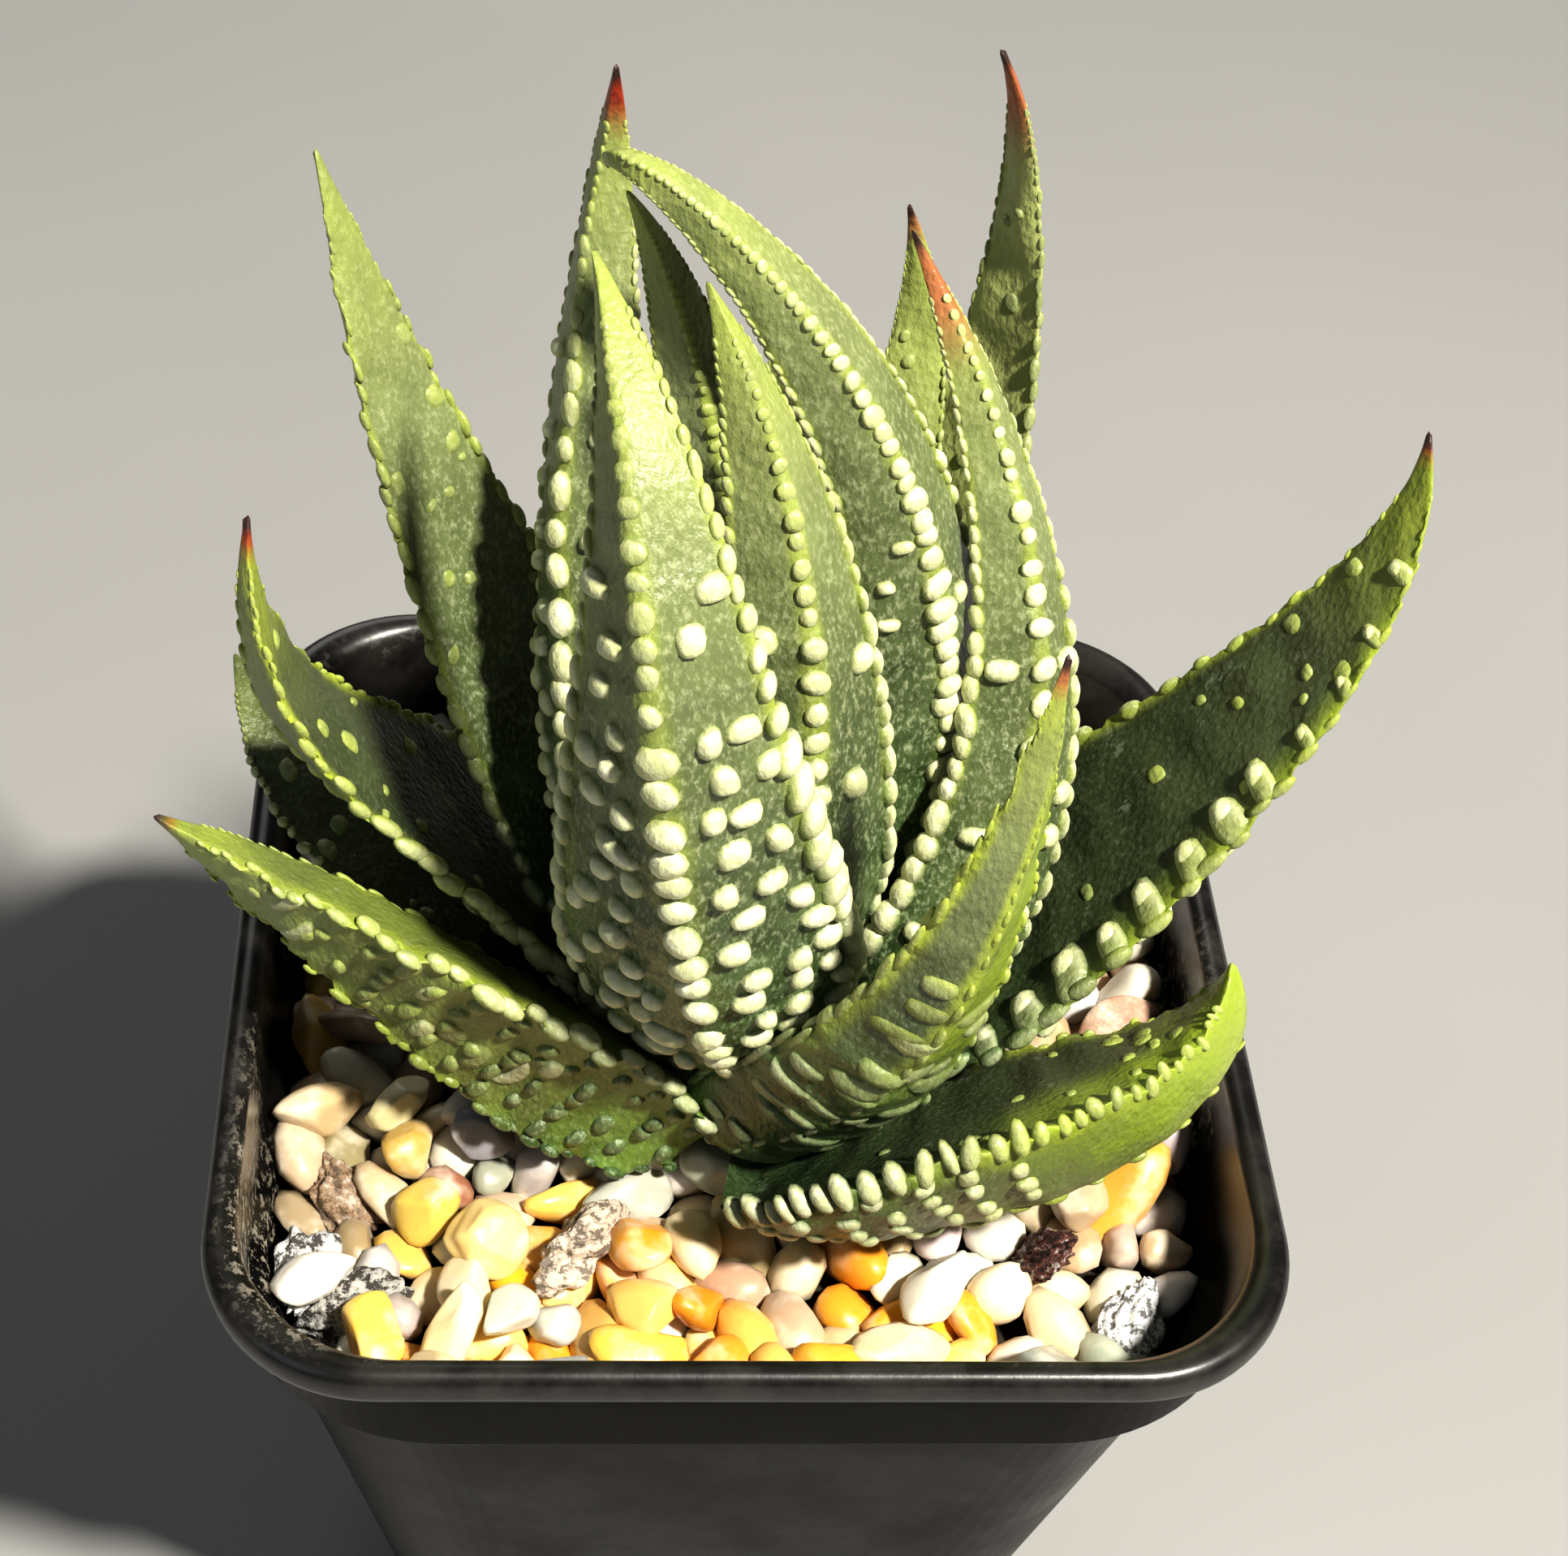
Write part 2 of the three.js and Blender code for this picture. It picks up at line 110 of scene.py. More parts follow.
leaves = {
    "front_left": blade(
        ((-3.5, -14, 2.6), (-2, -20, 0), (-32, -12.5, 23), (-43, -11, 33.7)), 270, -23, 14.2, 1.6, 0.8,
        lean=-0.28, depth=1.6, reach=0.8, yellow=0.75, dry=0.025, frill=0.5, glow=0.75, scaly=-1,
        first_edge=(0.9, 0.7, 0.15, 1.2), second_edge=(1.15, 1.2, 0.7, 1.1), keel=(0.85, 0.65, 0.5, 1.9),
        face=(1.5, 1, 0.12, 0.75), ridges=(0.3, 0.85, 0.3, 0.8), sun=(0, -2, -1, 0.42, -0.3)),
    "front_sweep": blade(
        ((-1, -15, 5), (2, -15, 10), (13, -26, 20), (15, -24, 63)), -120, 58, 13, 1.1, 0.6, root=0.85,
        reach=0.5, yellow=1, dry=0.05, brown=0.6, frill=0.35, glow=0.75, first_edge=(0.75, 0.75, 0.45, 1),
        second_edge=(1.2, 1.05, 0.4, 1.8), keel=(1.2, 0.6, 0.3, 1.8), face=(0, 1, 1, 1),
        ridges=(0.06, 0.55, 0.65, 0.38), sun=(0, -0.1, 0.4, 1, 0.2)),
    "front_right": blade(
        ((0, -18, 2), (16, -19.7, 17), (33.3, -17.5, 13), (34.8, -13.5, 23)), -43, 0, 19, 2.35, 0.85,
        root=0.5, lean=-0.93, depth=1.6, reach=0.55, yellow=0.9, frill=0.35, glow=0.75,
        first_edge=(0.9, 0.5, 0.6, 1), second_edge=(0.62, 0.85, 0.9, 0.6), keel=(1.2, 0.7, 0.6, 1.3),
        face=(1.3, 0.8, 0.8, 0.8), white=-0.2, sun=(pi, -0.1, 0.6, 0.9, 0.4)),
    "heart_front": blade(
        ((-1, -12, 11), (-9, -22, 49), (-8, -22, 67), (-14, -4, 77)), -86, -22, 20, 1.3, 1, root=0.45,
        depth=1.2, reach=0.8, yellow=0.6, white=0.12, first_edge=(1, 1.3, 1, 0.85),
        second_edge=(0.95, 1.1, 1, 1), keel=(0.9, 1, 1, 1), face=(0.9, 1, 1, 1)),
    "heart_inner": blade(
        ((2, -11, 16), (-3, -14, 17), (7, -13, 46), (-7, -4, 75)), -72, 19, 15, 1.4, 0.95, reach=0.75,
        yellow=0.6, white=0.1, edges=(1.05, 1.3, 1, 0.9), face=(0.45, 1.4, 0.9, 1)),
    "heart_back": blade(
        ((-3, -6, 9), (1, -2, 40), (-7, 6, 67), (-12, 1, 78)), -84, 1, 13, 1.3, 0.7, reach=0.8,
        face=(0.35, 0.9, 0.5, 0.8)),
    "heart_tip": blade(
        ((-3, -10, 12), (-2, -9, 29), (-1, -8, 44), (-9, -5, 58)), -101, 0, 9, 1.2, 0.7),
    "arching": blade(
        ((4, -8, 13), (25, 3, 55), (-16, -6, 90), (-13, 5, 77)), -67, -13, 12, 1.4, 1, reach=0.5, yellow=0.6,
        white=0.2, edges=(1, 1.15, 1, 0.9), keel=(0.9, 1.15, 1, 1), face=(0.25, 1, 0.8, 1)),
    "tall_left": blade(
        ((-4.2, -8.9, 10), (-17, -10, 44), (-12, 17, 64), (-12.7, 9, 82)), -133, 16, 15, 1.3, 0.95,
        reach=0.75, yellow=0.6, dry=0.07, white=0.15, edges=(1, 0.9, 1, 1), keel=(1.15, 1.1, 1, 1.2),
        face=(1.2, 1, 1, 1)),
    "tall_far_left": blade(
        ((-3, -3, 8), (-17, 3, 30), (-25, 7, 48), (-32, 12, 73)), 134, 8, 16, 1.3, 0.6, yellow=0.6,
        frill=0.3, slate=0.25, edges=(1.15, 0.9, 0.4, 1.2)),
    "tall_right": blade(
        ((4, -6, 7), (15, 12.5, 36), (19, 16, 69.5), (12.5, 15, 80.8)), 39, -2, 14, 1.2, 0.9, yellow=0.3,
        dry=0.1, brown=0.6, slate=0, edges=(1.3, 1.1, 0.5, 1.2), sun=(0, -2, -1, 1, 0)),
    "tall_right_inner": blade(
        ((3, -5, 9), (3, 3, 39), (14, 18, 51), (8, 16, 68)), 75, -3, 11.5, 1.3, 0.8, yellow=0.6, dry=0.05,
        brown=1, slate=0, sun=(0, -2, -1, 0.6, 0.2)),
    "right_upright": blade(
        ((5, -10.8, 4.3), (16.3, -16, 27.2), (25, -2.7, 39.8), (7, 7, 72)), -96, 12, 12, 1.2, 1, reach=0.85,
        yellow=0.6, dry=0.12, brown=0.8, white=0.3, edges=(1.35, 1.55, 1, 0.95), keel=(1.6, 1.4, 1, 1),
        face=(0.5, 1.4, 1, 1)),
    "wide_right": blade(
        ((6, -6.5, 3.8), (29, -2, 27), (45, -4, 48), (44, 3, 60)), 15, 12, 20, 1.3, 0.85, yellow=0.9,
        dry=0.03, teeth=True, frill=0.25, first_edge=(1.5, 0.75, 0.8, 1), second_edge=(1.2, 0.8, 0.3, 1.3),
        sun=(pi, 0.55, 1, 0.6, 0.2)),
    "left_mid": blade(
        ((-5, -8, 5.3), (-16, 10, 22), (-36, -13, 33), (-35.8, -5, 56)), 172, -6, 18, 1.2, 0.75, reach=0.5,
        yellow=0.9, dry=0.045, frill=0.3, glow=0.8, first_edge=(0.95, 0.95, 0.9, 1.3),
        second_edge=(0.8, 0.45, 0.3, 1), keel=(1.1, 1, 0.8, 1.5), face=(0.7, 0.9, 0.5, 0.7)),
    "left_low": blade(
        ((-5, -4, 3), (-17, 10, 16), (-29, -10, 18), (-40, 13, 27)), 154, -21, 16.5, 1.5, 0.35, reach=0.5,
        yellow=0.2, frill=0.3, edges=(0.6, 0.9, 0.35, 0.6)),
    "left_small": blade(
        ((-6, -7.5, 3), (-19, 4, 8), (-27, -4, 8), (-31, -3, 17)), 176, -7, 10, 1.2, 0.4, reach=0.5,
        yellow=0.5, frill=0.3, edges=(1, 0.8, 0.6, 1)),
    "right_low": blade(
        ((6, -5, 2), (15, -1, 8), (21, 5, 15), (30, 8, 22)), 39, 4, 13, 1.25, 0.7),
    "back_right": blade(
        ((2, -3, 4), (6.6, 11.5, 20), (17, 14, 35), (15, 24, 44)), 52, 5, 14, 1.25, 0.85, dry=0.04),
    "back_mid": blade(
        ((0, -4, 8.5), (-2, 4, 25), (2, 10, 42), (0, 18, 57)), 103, -1, 14, 1.25, 0.95, dry=0.05),
    "back_left": blade(
        ((-1, -3, 5), (-4, 7, 20), (-11, 15, 33), (-7, 26, 42)), 96, -1, 13.5, 1.25, 0.85, dry=0.04),
    "back_low": blade(
        ((0, -2, 2), (4, 7, 8), (4, 17, 18), (3, 31, 26)), 91, 1, 14, 1.25, 0.75),
}


# Meshes
class Pile:
    """Points, faces and point values of shapes that become one mesh."""

    def __init__(self, *names):
        self.names = names
        self.points = []
        self.faces = []
        self.values = []
        self.count = 0

    def add(self, points, faces, *values):
        self.points.append(points)
        self.faces.extend([tuple(corner + self.count for corner in face) for face in faces])
        self.values.append(np.stack([np.broadcast_to(value, len(points)) for value in values], 1))
        self.count += len(points)

    def piece(self, name, material):
        mesh = bpy.data.meshes.new(name)
        points = np.concatenate(self.points) * MM
        mesh.from_pydata(points.tolist(), [], self.faces)
        values = np.concatenate(self.values)
        for column, key in enumerate(self.names):
            layer = mesh.attributes.new(key, "FLOAT", "POINT")
            layer.data.foreach_set("value", values[:, column].astype(np.float32))
        mesh.shade_smooth()
        mesh.materials.append(material)
        return put(name, mesh)


def put(name, data):
    """A new object in the scene."""
    thing = bpy.data.objects.new(name, data)
    bpy.context.scene.collection.objects.link(thing)
    return thing


def dress(piece, slot, *nodes):
    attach(piece, "root")
    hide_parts(*nodes)


def grid_faces(rows, columns):
    """Quads between rings of points, each ring closed."""
    return [(low + k, low + (k + 1) % columns, low + columns + (k + 1) % columns, low + columns + k)
            for low in range(0, (rows - 1) * columns, columns) for k in range(columns)]


def ease(low, high, value):
    """0 at low and 1 at high, and smooth between them."""
    share = np.clip((value - low) / (high - low), 0, 1)
    return share * share * (3 - 2 * share)


# Materials
class Paint:
    """A node material with short ways to add its nodes."""

    def __init__(self, name):
        self.material = bpy.data.materials.new(name)
        self.material.use_nodes = True
        self.nodes = self.material.node_tree.nodes
        self.links = self.material.node_tree.links
        self.shader = self.nodes["Principled BSDF"]
        self.place = self.nodes.new("ShaderNodeTexCoord").outputs["Object"]

    def join(self, source, socket):
        if hasattr(source, "is_linked"):
            self.links.new(source, socket)
        else:
            socket.default_value = source

    def fill(self, node, **sockets):
        """Set or link a node's inputs, by their names with underscores for spaces."""
        for name, value in sockets.items():
            self.join(value, node.inputs[name.replace("_", " ")])
        return node

    def add(self, kind, **sockets):
        return self.fill(self.nodes.new(kind), **sockets)

    def value(self, name, output="Fac"):
        node = self.add("ShaderNodeAttribute")
        node.attribute_name = name
        return node.outputs[output]

    def noise(self, scale, detail=3, roughness=0.5, stretch=None):
        node = self.add("ShaderNodeTexNoise", Scale=scale, Detail=detail, Roughness=roughness)
        return self.fill(node, Vector=self.stretched(stretch)).outputs["Fac"]

    def cells(self, scale, stretch):
        node = self.add("ShaderNodeTexVoronoi", Scale=scale, Vector=self.stretched(stretch))
        return node.outputs["Distance"]

    def stretched(self, stretch):
        if stretch is None:
            return self.place
        return self.add("ShaderNodeMapping", Scale=stretch, Vector=self.place).outputs["Vector"]

    def ramp(self, source, low, high, bottom=0, top=1):
        node = self.add("ShaderNodeMapRange", Value=source, From_Min=low, From_Max=high)
        node.interpolation_type = "SMOOTHSTEP"
        return self.fill(node, To_Min=bottom, To_Max=top).outputs["Result"]

    def math(self, operation, first, second):
        node = self.add("ShaderNodeMath")
        node.operation = operation
        self.join(first, node.inputs[0])
        self.join(second, node.inputs[1])
        return node.outputs["Value"]

    def plus(self, first, second):
        return self.math("ADD", first, second)

    def times(self, first, second):
        return self.math("MULTIPLY", first, second)

    def shade(self, source, low, high, first, second, most=1):
        """First to second as a source goes from low to high, at most by a share."""
        return self.mix(self.ramp(source, low, high, 0, most), first, second)

    def mix(self, share, first, second, blend="MIX"):
        node = self.add("ShaderNodeMix")
        node.data_type = "RGBA"
        node.blend_type = blend
        colours = [socket for socket in node.inputs if socket.type == "RGBA"]
        self.fill(node, Factor=share)
        for socket, colour in zip(colours, (first, second)):
            self.join(colour if hasattr(colour, "is_linked") else (*colour, 1), socket)
        return [socket for socket in node.outputs if socket.type == "RGBA"][0]

    def bump(self, height, strength, distance, under=None):
        node = self.add("ShaderNodeBump", Height=height, Strength=strength, Distance=distance)
        if under is not None:
            self.fill(node, Normal=under)
        return node.outputs["Normal"]

    def finish(self, **sockets):
        self.fill(self.shader, **sockets)
        return self.material


leaf_values = ("along", "edge", "pearl", "inner", "yellow", "dry", "brown", "sun")


def leaf_paint():
    """Waxy green skin of fine pale grains, partly painted as a sparkle of sheen, with cream bumps; yellower
    at edges and tips, which are also painted with a backlit glow, with painted shade on inner faces and a
    painted sunlit side.
    """
    paint = Paint("leaf_skin")
    along, edge, pearl, inner, yellow, dry, brown, sun = (paint.value(name) for name in leaf_values)
    patches = paint.noise(150, 3, 0.6)
    grain = paint.noise(2300, 3, 0.65, (1, 1, 0.6))
    flecks = paint.cells(1900, (1, 1, 0.55))
    green = paint.shade(patches, 0.35, 0.65, (0.036, 0.059, 0.018), (0.092, 0.126, 0.045))
    # Inner faces are painted darker as shade, by each leaf's share of painted inner shade.
    slate = paint.shade(patches, 0.3, 0.7, (0.02, 0.032, 0.011), (0.044, 0.06, 0.022))
    skin = paint.mix(inner, green, slate)
    # Pale grains and flecks: partly the skin's own pale papillae, partly a painted sparkle of sheen; fewer
    # on the yellowest leaves, and darker where the inner face is painted in shade (the dusty mask holds
    # these grains, not dust).
    pale = paint.mix(inner, (0.35, 0.38, 0.23), (0.12, 0.145, 0.085))
    dusty = paint.times(paint.ramp(grain, 0.46, 0.72, 0, 0.75), paint.ramp(yellow, 0.6, 1, 1, 0.45))
    skin = paint.mix(dusty, skin, pale)
    skin = paint.shade(flecks, 0.3, 0.08, skin, pale, 0.35)
    # The upper leaf is painted paler: partly its own yellower colour, partly painted light and sheen that
    # the upper parts catch; weaker on the inner face.
    upper_colour_and_light = paint.times(paint.ramp(along, 0.35, 0.95), paint.ramp(inner, 0, 1, 0.6, 0.12))
    skin = paint.mix(upper_colour_and_light, skin, (0.38, 0.43, 0.18))
    # Edges, keel and tip are painted yellow-green with the glow of light shining through them, partly also
    # their own yellower colour; stronger on yellower leaves.
    lit = paint.math("MAXIMUM", paint.times(edge, paint.ramp(along, 0.15, 0.6)),
                     paint.ramp(along, 0.72, 1, 0, 0.8))
    lit = paint.times(lit, paint.ramp(patches, 0.3, 0.6, 0.5, 1))
    skin = paint.mix(paint.times(yellow, lit), skin, (0.4, 0.48, 0.05))
    # One side is painted paler yellow-green as if sunlit, where the sun share says.
    painted_sunlit_colour = paint.shade(yellow, 0.3, 0.95, (0.5, 0.55, 0.2), (0.27, 0.36, 0.022))
    skin = paint.mix(paint.times(sun, paint.ramp(patches, 0.3, 0.6, 0.6, 1)), skin, painted_sunlit_colour)
    scuff = paint.ramp(paint.noise(420, 4, 0.75, (1, 1, 0.35)), 0.62, 0.7, 0, 0.35)
    skin = paint.mix(paint.times(scuff, paint.ramp(inner, 0, 1, 0.25, 1)), skin, (0.3, 0.34, 0.25))
    # Greener and a little darker towards the root: painted to cancel the warm light that the gravel bounces
    # into the shaded leaf bases.
    skin = paint.mix(paint.ramp(along, 0.45, 0.1), skin, (0.78, 1, 0.8), "MULTIPLY")
    cream = paint.shade(paint.noise(700), 0.4, 0.7, (0.64, 0.66, 0.38), (0.8, 0.81, 0.58))
    skin = paint.mix(pearl, skin, cream)
    end = paint.mix(brown, (0.34, 0.035, 0.012), (0.46, 0.2, 0.08))
    end = paint.shade(along, 0.972, 0.99, end, (0.045, 0.022, 0.02))
    skin = paint.mix(dry, skin, end)
    fine = paint.bump(paint.plus(paint.times(flecks, 0.6), grain), 0.5, 0.00025)
    return paint.finish(Base_Color=skin, Normal=paint.bump(patches, 0.3, 0.0008, fine),
                        Roughness=paint.ramp(grain, 0.3, 0.7, 0.33, 0.5), Specular_IOR_Level=0.55)


def pebble_paint():
    """Tumbled quartz in each stone's own colour with pale and rusty clouds; rough stones are pitted."""
    paint = Paint("pebble")
    own = paint.value("stone_colour", "Color")
    rough = paint.value("rough")
    colour = paint.shade(paint.noise(230, 3, 0.6), 0.45, 0.68, own, (0.84, 0.78, 0.66), 0.5)
    rusty = paint.mix(0.6, own, (0.42, 0.19, 0.04))
    colour = paint.shade(paint.noise(500, 4, 0.7, (1, 2.4, 1)), 0.6, 0.72, colour, rusty, 0.4)
    pits = paint.noise(900, 4, 0.75)
    dark = paint.mix(1, own, (0.12, 0.11, 0.1), "MULTIPLY")
    light = paint.mix(0.5, own, (0.75, 0.74, 0.7))
    speckled = paint.shade(pits, 0.44, 0.5, dark, own)
    speckled = paint.shade(pits, 0.54, 0.62, speckled, light)
    colour = paint.mix(rough, colour, speckled)
    grain = paint.noise(2600, 3, 0.6)
    relief = paint.plus(paint.times(grain, 0.2), paint.times(paint.times(pits, rough), 6))
    polish = paint.plus(paint.ramp(grain, 0.3, 0.7, 0.3, 0.46), paint.times(rough, 0.5))
    return paint.finish(Base_Color=colour, Roughness=polish, Normal=paint.bump(relief, 0.5, 0.0002),
                        Subsurface_Weight=0.18, Subsurface_Scale=0.002, Subsurface_Radius=(1, 0.8, 0.6))


def pot_paint():
    """Satin black moulded plastic, dusty with dried water spots inside and lightly scuffed outside."""
    paint = Paint("pot_black")
    inside = paint.value("inside")
    rim = paint.value("rim")
    colour = paint.shade(paint.noise(90, 4, 0.6), 0.3, 0.7, (0.0024, 0.0024, 0.0022), (0.005, 0.005, 0.0046))
    film = paint.noise(60, 5, 0.7)
    colour = paint.shade(film, 0.45, 0.8, colour, (0.2, 0.19, 0.16), 0.02)
    spots = paint.ramp(paint.noise(1100, 4, 0.75), 0.52, 0.6)
    dusty = paint.ramp(paint.noise(38), 0.47, 0.58)
    dust = paint.times(paint.times(spots, dusty), inside)
    colour = paint.mix(paint.times(dust, 0.7), colour, (0.5, 0.45, 0.37))
    scratches = paint.ramp(paint.noise(700, 2, 0.4, (0.09, 0.09, 1.6)), 0.7, 0.76)
    marks = paint.times(scratches, paint.ramp(paint.noise(40, 3, 0.6), 0.55, 0.7))
    colour = paint.mix(paint.times(marks, 0.3), colour, (0.18, 0.17, 0.15))
    # The rim is painted a little paler: partly real wear, partly a painted highlight along its edge.
    worn = paint.times(rim, paint.ramp(paint.noise(150, 4, 0.7), 0.4, 0.65, 0.01, 0.07))
    colour = paint.mix(worn, colour, (0.3, 0.28, 0.25))
    rough = paint.plus(paint.ramp(film, 0.3, 0.7, 0.24, 0.36), paint.times(dust, 0.5))
    return paint.finish(Base_Color=colour, Roughness=rough,
                        Normal=paint.bump(paint.noise(1800, 3, 0.6), 0.12, 0.0001),
                        Specular_IOR_Level=paint.ramp(rim, 0, 1, 0.035, 0.6))


def soil_paint():
    paint = Paint("potting_soil")
    crumbs = paint.noise(700, 6, 0.7)
    colour = paint.shade(crumbs, 0.35, 0.65, (0.012, 0.008, 0.005), (0.06, 0.04, 0.025))
    fibres = paint.noise(1500, 4, 0.6, (1, 0.2, 1))
    colour = paint.shade(fibres, 0.62, 0.72, colour, (0.16, 0.1, 0.06), 0.6)
    return paint.finish(Base_Color=colour, Roughness=0.95, Normal=paint.bump(crumbs, 0.9, 0.0012))


def stem_paint():
    paint = Paint("stem_bark")
    bands = paint.noise(260, 5, 0.6, (1, 1, 3))
    colour = paint.shade(bands, 0.35, 0.65, (0.1, 0.085, 0.035), (0.17, 0.19, 0.07))
    return paint.finish(Base_Color=colour, Roughness=0.75, Normal=paint.bump(bands, 0.6, 0.0006))


# Leaves
def tip_share(s):
    """How much of its thickness a leaf keeps towards the tip."""
    return 1 - 0.6 * ease(0.85, 1, s)


def leaf_half_width(leaf, s):
    rise = np.sin(pi / 2 * np.minimum(1, s / widest_at))
    rise = leaf["root"] * (1 - rise) + rise
    fall = 1 - np.clip((s - widest_at) / (1 - widest_at), 0, 1) ** leaf["taper"]
    return leaf["width"] / 2 * rise * fall + tip_half_width * tip_share(s)


def leaf_section(leaf, s, angle):
    """Across and outward, in mm, of the skin at an angle round the leaf (a quarter turn is the keel)."""
    half = leaf_half_width(leaf, s)
    depth = half * (back_depth[0] + back_depth[1] * s) * leaf["depth"]
    depth = np.maximum(least_depth * tip_share(s), depth)
    channel = half * (channel_depth[0] + channel_depth[1] * s)
    keel = np.minimum(keel_sharpness[2], keel_sharpness[0] + keel_sharpness[1] * s)
    across = np.cos(angle)
    round_back = np.sqrt(np.maximum(0, 1 - across ** 2))
    lip = margin_radius * tip_share(s)
    ridge = (np.sqrt(across ** 2 + keel_softness ** 2) - keel_softness) / (
        sqrt(1 + keel_softness ** 2) - keel_softness)
    back = depth * ((1 - keel) * round_back + keel * (1 - ridge)) + lip * round_back
    face = channel * (1 - across ** 2) - lip * round_back
    return half * across, np.where(np.sin(angle) >= 0, back, face)


class LeafSkin:
    """The smooth skin of one leaf as a grid of points, with its normals."""

    def __init__(self, leaf, seed):
        line = np.array(leaf["line"], float) + (0, 0, gravel_top)
        share = np.linspace(0, 1, 201)[:, None]
        spent = 1 - share
        curve = (spent ** 3 * line[0] + 3 * spent ** 2 * share * line[1]
                 + 3 * spent * share ** 2 * line[2] + share ** 3 * line[3])
        speed = (spent ** 2 * (line[1] - line[0]) + 2 * spent * share * (line[2] - line[1])
                 + share ** 2 * (line[3] - line[2]))
        reach = np.concatenate([[0], np.cumsum(norm(np.diff(curve, axis=0), axis=1))])
        self.leaf = leaf
        self.root, self.tip = line[0], line[3]
        self.length = reach[-1]
        self.rows = round(self.length / row_pitch)
        self.s = np.linspace(0, 0.995, self.rows)
        self.middle, self.along = (
            np.stack([np.interp(self.s * self.length, reach, part[:, k]) for k in range(3)], 1)
            for part in (curve, speed))
        self.along /= norm(self.along, axis=1)[:, None]
        facing = radians(leaf["facing"])
        back = np.array([cos(facing), sin(facing), leaf["lean"]])
        self.out = np.zeros((self.rows, 3))
        self.side = np.zeros((self.rows, 3))
        for row, (s, along) in enumerate(zip(self.s, self.along)):
            back = back - along * back.dot(along)
            back /= norm(back)
            turn = Matrix.Rotation(radians(leaf["twist"]) * s, 3, Vector(along))
            self.out[row] = turn @ Vector(back)
            self.side[row] = np.cross(along, self.out[row])
        self.angle = np.arange(leaf_columns) * 2 * pi / leaf_columns
        self.grid = self.skin(seed)
        ahead = np.gradient(self.grid, axis=0)
        beside = np.roll(self.grid, -1, 1) - np.roll(self.grid, 1, 1)
        normal = np.cross(ahead, beside)
        self.normal = normal / np.maximum(1e-9, norm(normal, axis=2))[:, :, None]
        # mm of skin for each radian of angle
        self.pace = norm(beside, axis=2) / (4 * pi / leaf_columns)

    def skin(self, seed):
        s, angle = self.s[:, None], self.angle[None, :]
        across, outward = leaf_section(self.leaf, s, angle)
        random = np.random.RandomState(seed)
        wave = np.zeros_like(across)
        for size in (0.16, 0.12, 0.08, 0.06):
            turns, lobes = random.uniform(2, 14), random.randint(1, 5)
            wave += size * np.sin(turns * s * pi * 2 + random.uniform(0, 6)) * np.sin(
                lobes * angle + random.uniform(0, 6))
        band = band_height * np.cos(2 * pi * s * self.length / bead_gap)
        back = np.maximum(0, np.sin(angle))
        band = band * back * (1 - ease(self.leaf["reach"] - 0.1, self.leaf["reach"] + 0.1, s))
        lift = (wave + band) * (1 - ease(0.8, 1, s)) * np.sign(np.sin(angle)) * np.sqrt(
            np.abs(np.sin(angle)))
        frill = self.leaf["frill"] * np.abs(np.cos(angle)) ** 9 * (1 - ease(0.85, 1, s))
        turns = s * self.length * 2 * pi / frill_pitch
        sway = random.uniform(0, 6)
        across = across * (1 + frill * 0.08 * np.sin(turns * 0.83 + sway))
        outward = outward + lift + frill * np.sin(turns + sway + 2 * np.sin(turns * 0.31))
        return (self.middle[:, None, :] + self.side[:, None, :] * across[:, :, None]
                + self.out[:, None, :] * outward[:, :, None])

    def at(self, s, angle, grid=None):
        """Points of the skin, or of another grid, at shares of the length and angles."""
        grid = self.grid if grid is None else grid
        row = np.clip(np.asarray(s) / self.s[-1] * (self.rows - 1), 0, self.rows - 1.001)
        column = (np.asarray(angle) / (2 * pi) * leaf_columns) % leaf_columns
        low_row, low_column = row.astype(int), column.astype(int) % leaf_columns
        u, v = row - low_row, column - np.floor(column)
        if grid.ndim == 3:
            u, v = u[..., None], v[..., None]
        next_column = (low_column + 1) % leaf_columns
        return ((1 - u) * ((1 - v) * grid[low_row, low_column] + v * grid[low_row, next_column])
                + u * ((1 - v) * grid[low_row + 1, low_column] + v * grid[low_row + 1, next_column]))

    def reach_from(self, middle, s, hand):
        """Angles away from a face's middle towards one edge, and how many mm of skin lie between."""
        turns = np.linspace(0, pi / 2, 25)
        pace = self.at(np.full(25, s), middle - hand * turns, self.pace)
        reach = np.cumsum((pace[1:] + pace[:-1]) / 2 * turns[1])
        return turns, np.concatenate([[0], reach])


# Bumps
bead_gap = 3.1
band_height = 0.14
frill_pitch = 3.6
margin_gap = 2.35
margin_foot = (0.95, 1.3, 0.8)
keel_gap = 2.75
keel_foot = (1.45, 1.28, 0.95)
tooth_gap = 4.2
# A tooth's ridge and knob: how far in from the edge, half sizes across and along the leaf, height,
# paleness, and whether the inner end is palest.
tooth_parts = ((1.5, 2.1, 1.35, 0.7, 0.62, True), (2.7, 1.05, 1.05, 1.05, 0.75, False))
ridge_gap = 2.7
wide_share = 0.08
row_start = 1.6
row_end = 0.94
inner_bumps = 14
inner_pale = 0.07
bead_around = 12
bead_rings = ((1.06, -0.12), (0.97, 0.16), (0.86, 0.5), (0.64, 0.8), (0.34, 0.96))
knob_rings = 6
keel = pi / 2


def leaf_scale(leaf):
    """How large a leaf's bumps are, by its width."""
    return float(np.clip(leaf["width"] / 17, 0.72, 1.1))


def ring_cap_faces(rings, around):
    """Rings closed at their last end by one more point."""
    top, last = rings * around, (rings - 1) * around
    return grid_faces(rings, around) + [(last + k, last + (k + 1) % around, top) for k in range(around)]


bead_faces = [face[::-1] for face in ring_cap_faces(len(bead_rings), bead_around)]


def plump(share):
    """A sine or cosine filled out, so that an oval gets fuller ends."""
    return np.sign(share) * np.abs(share) ** 0.78


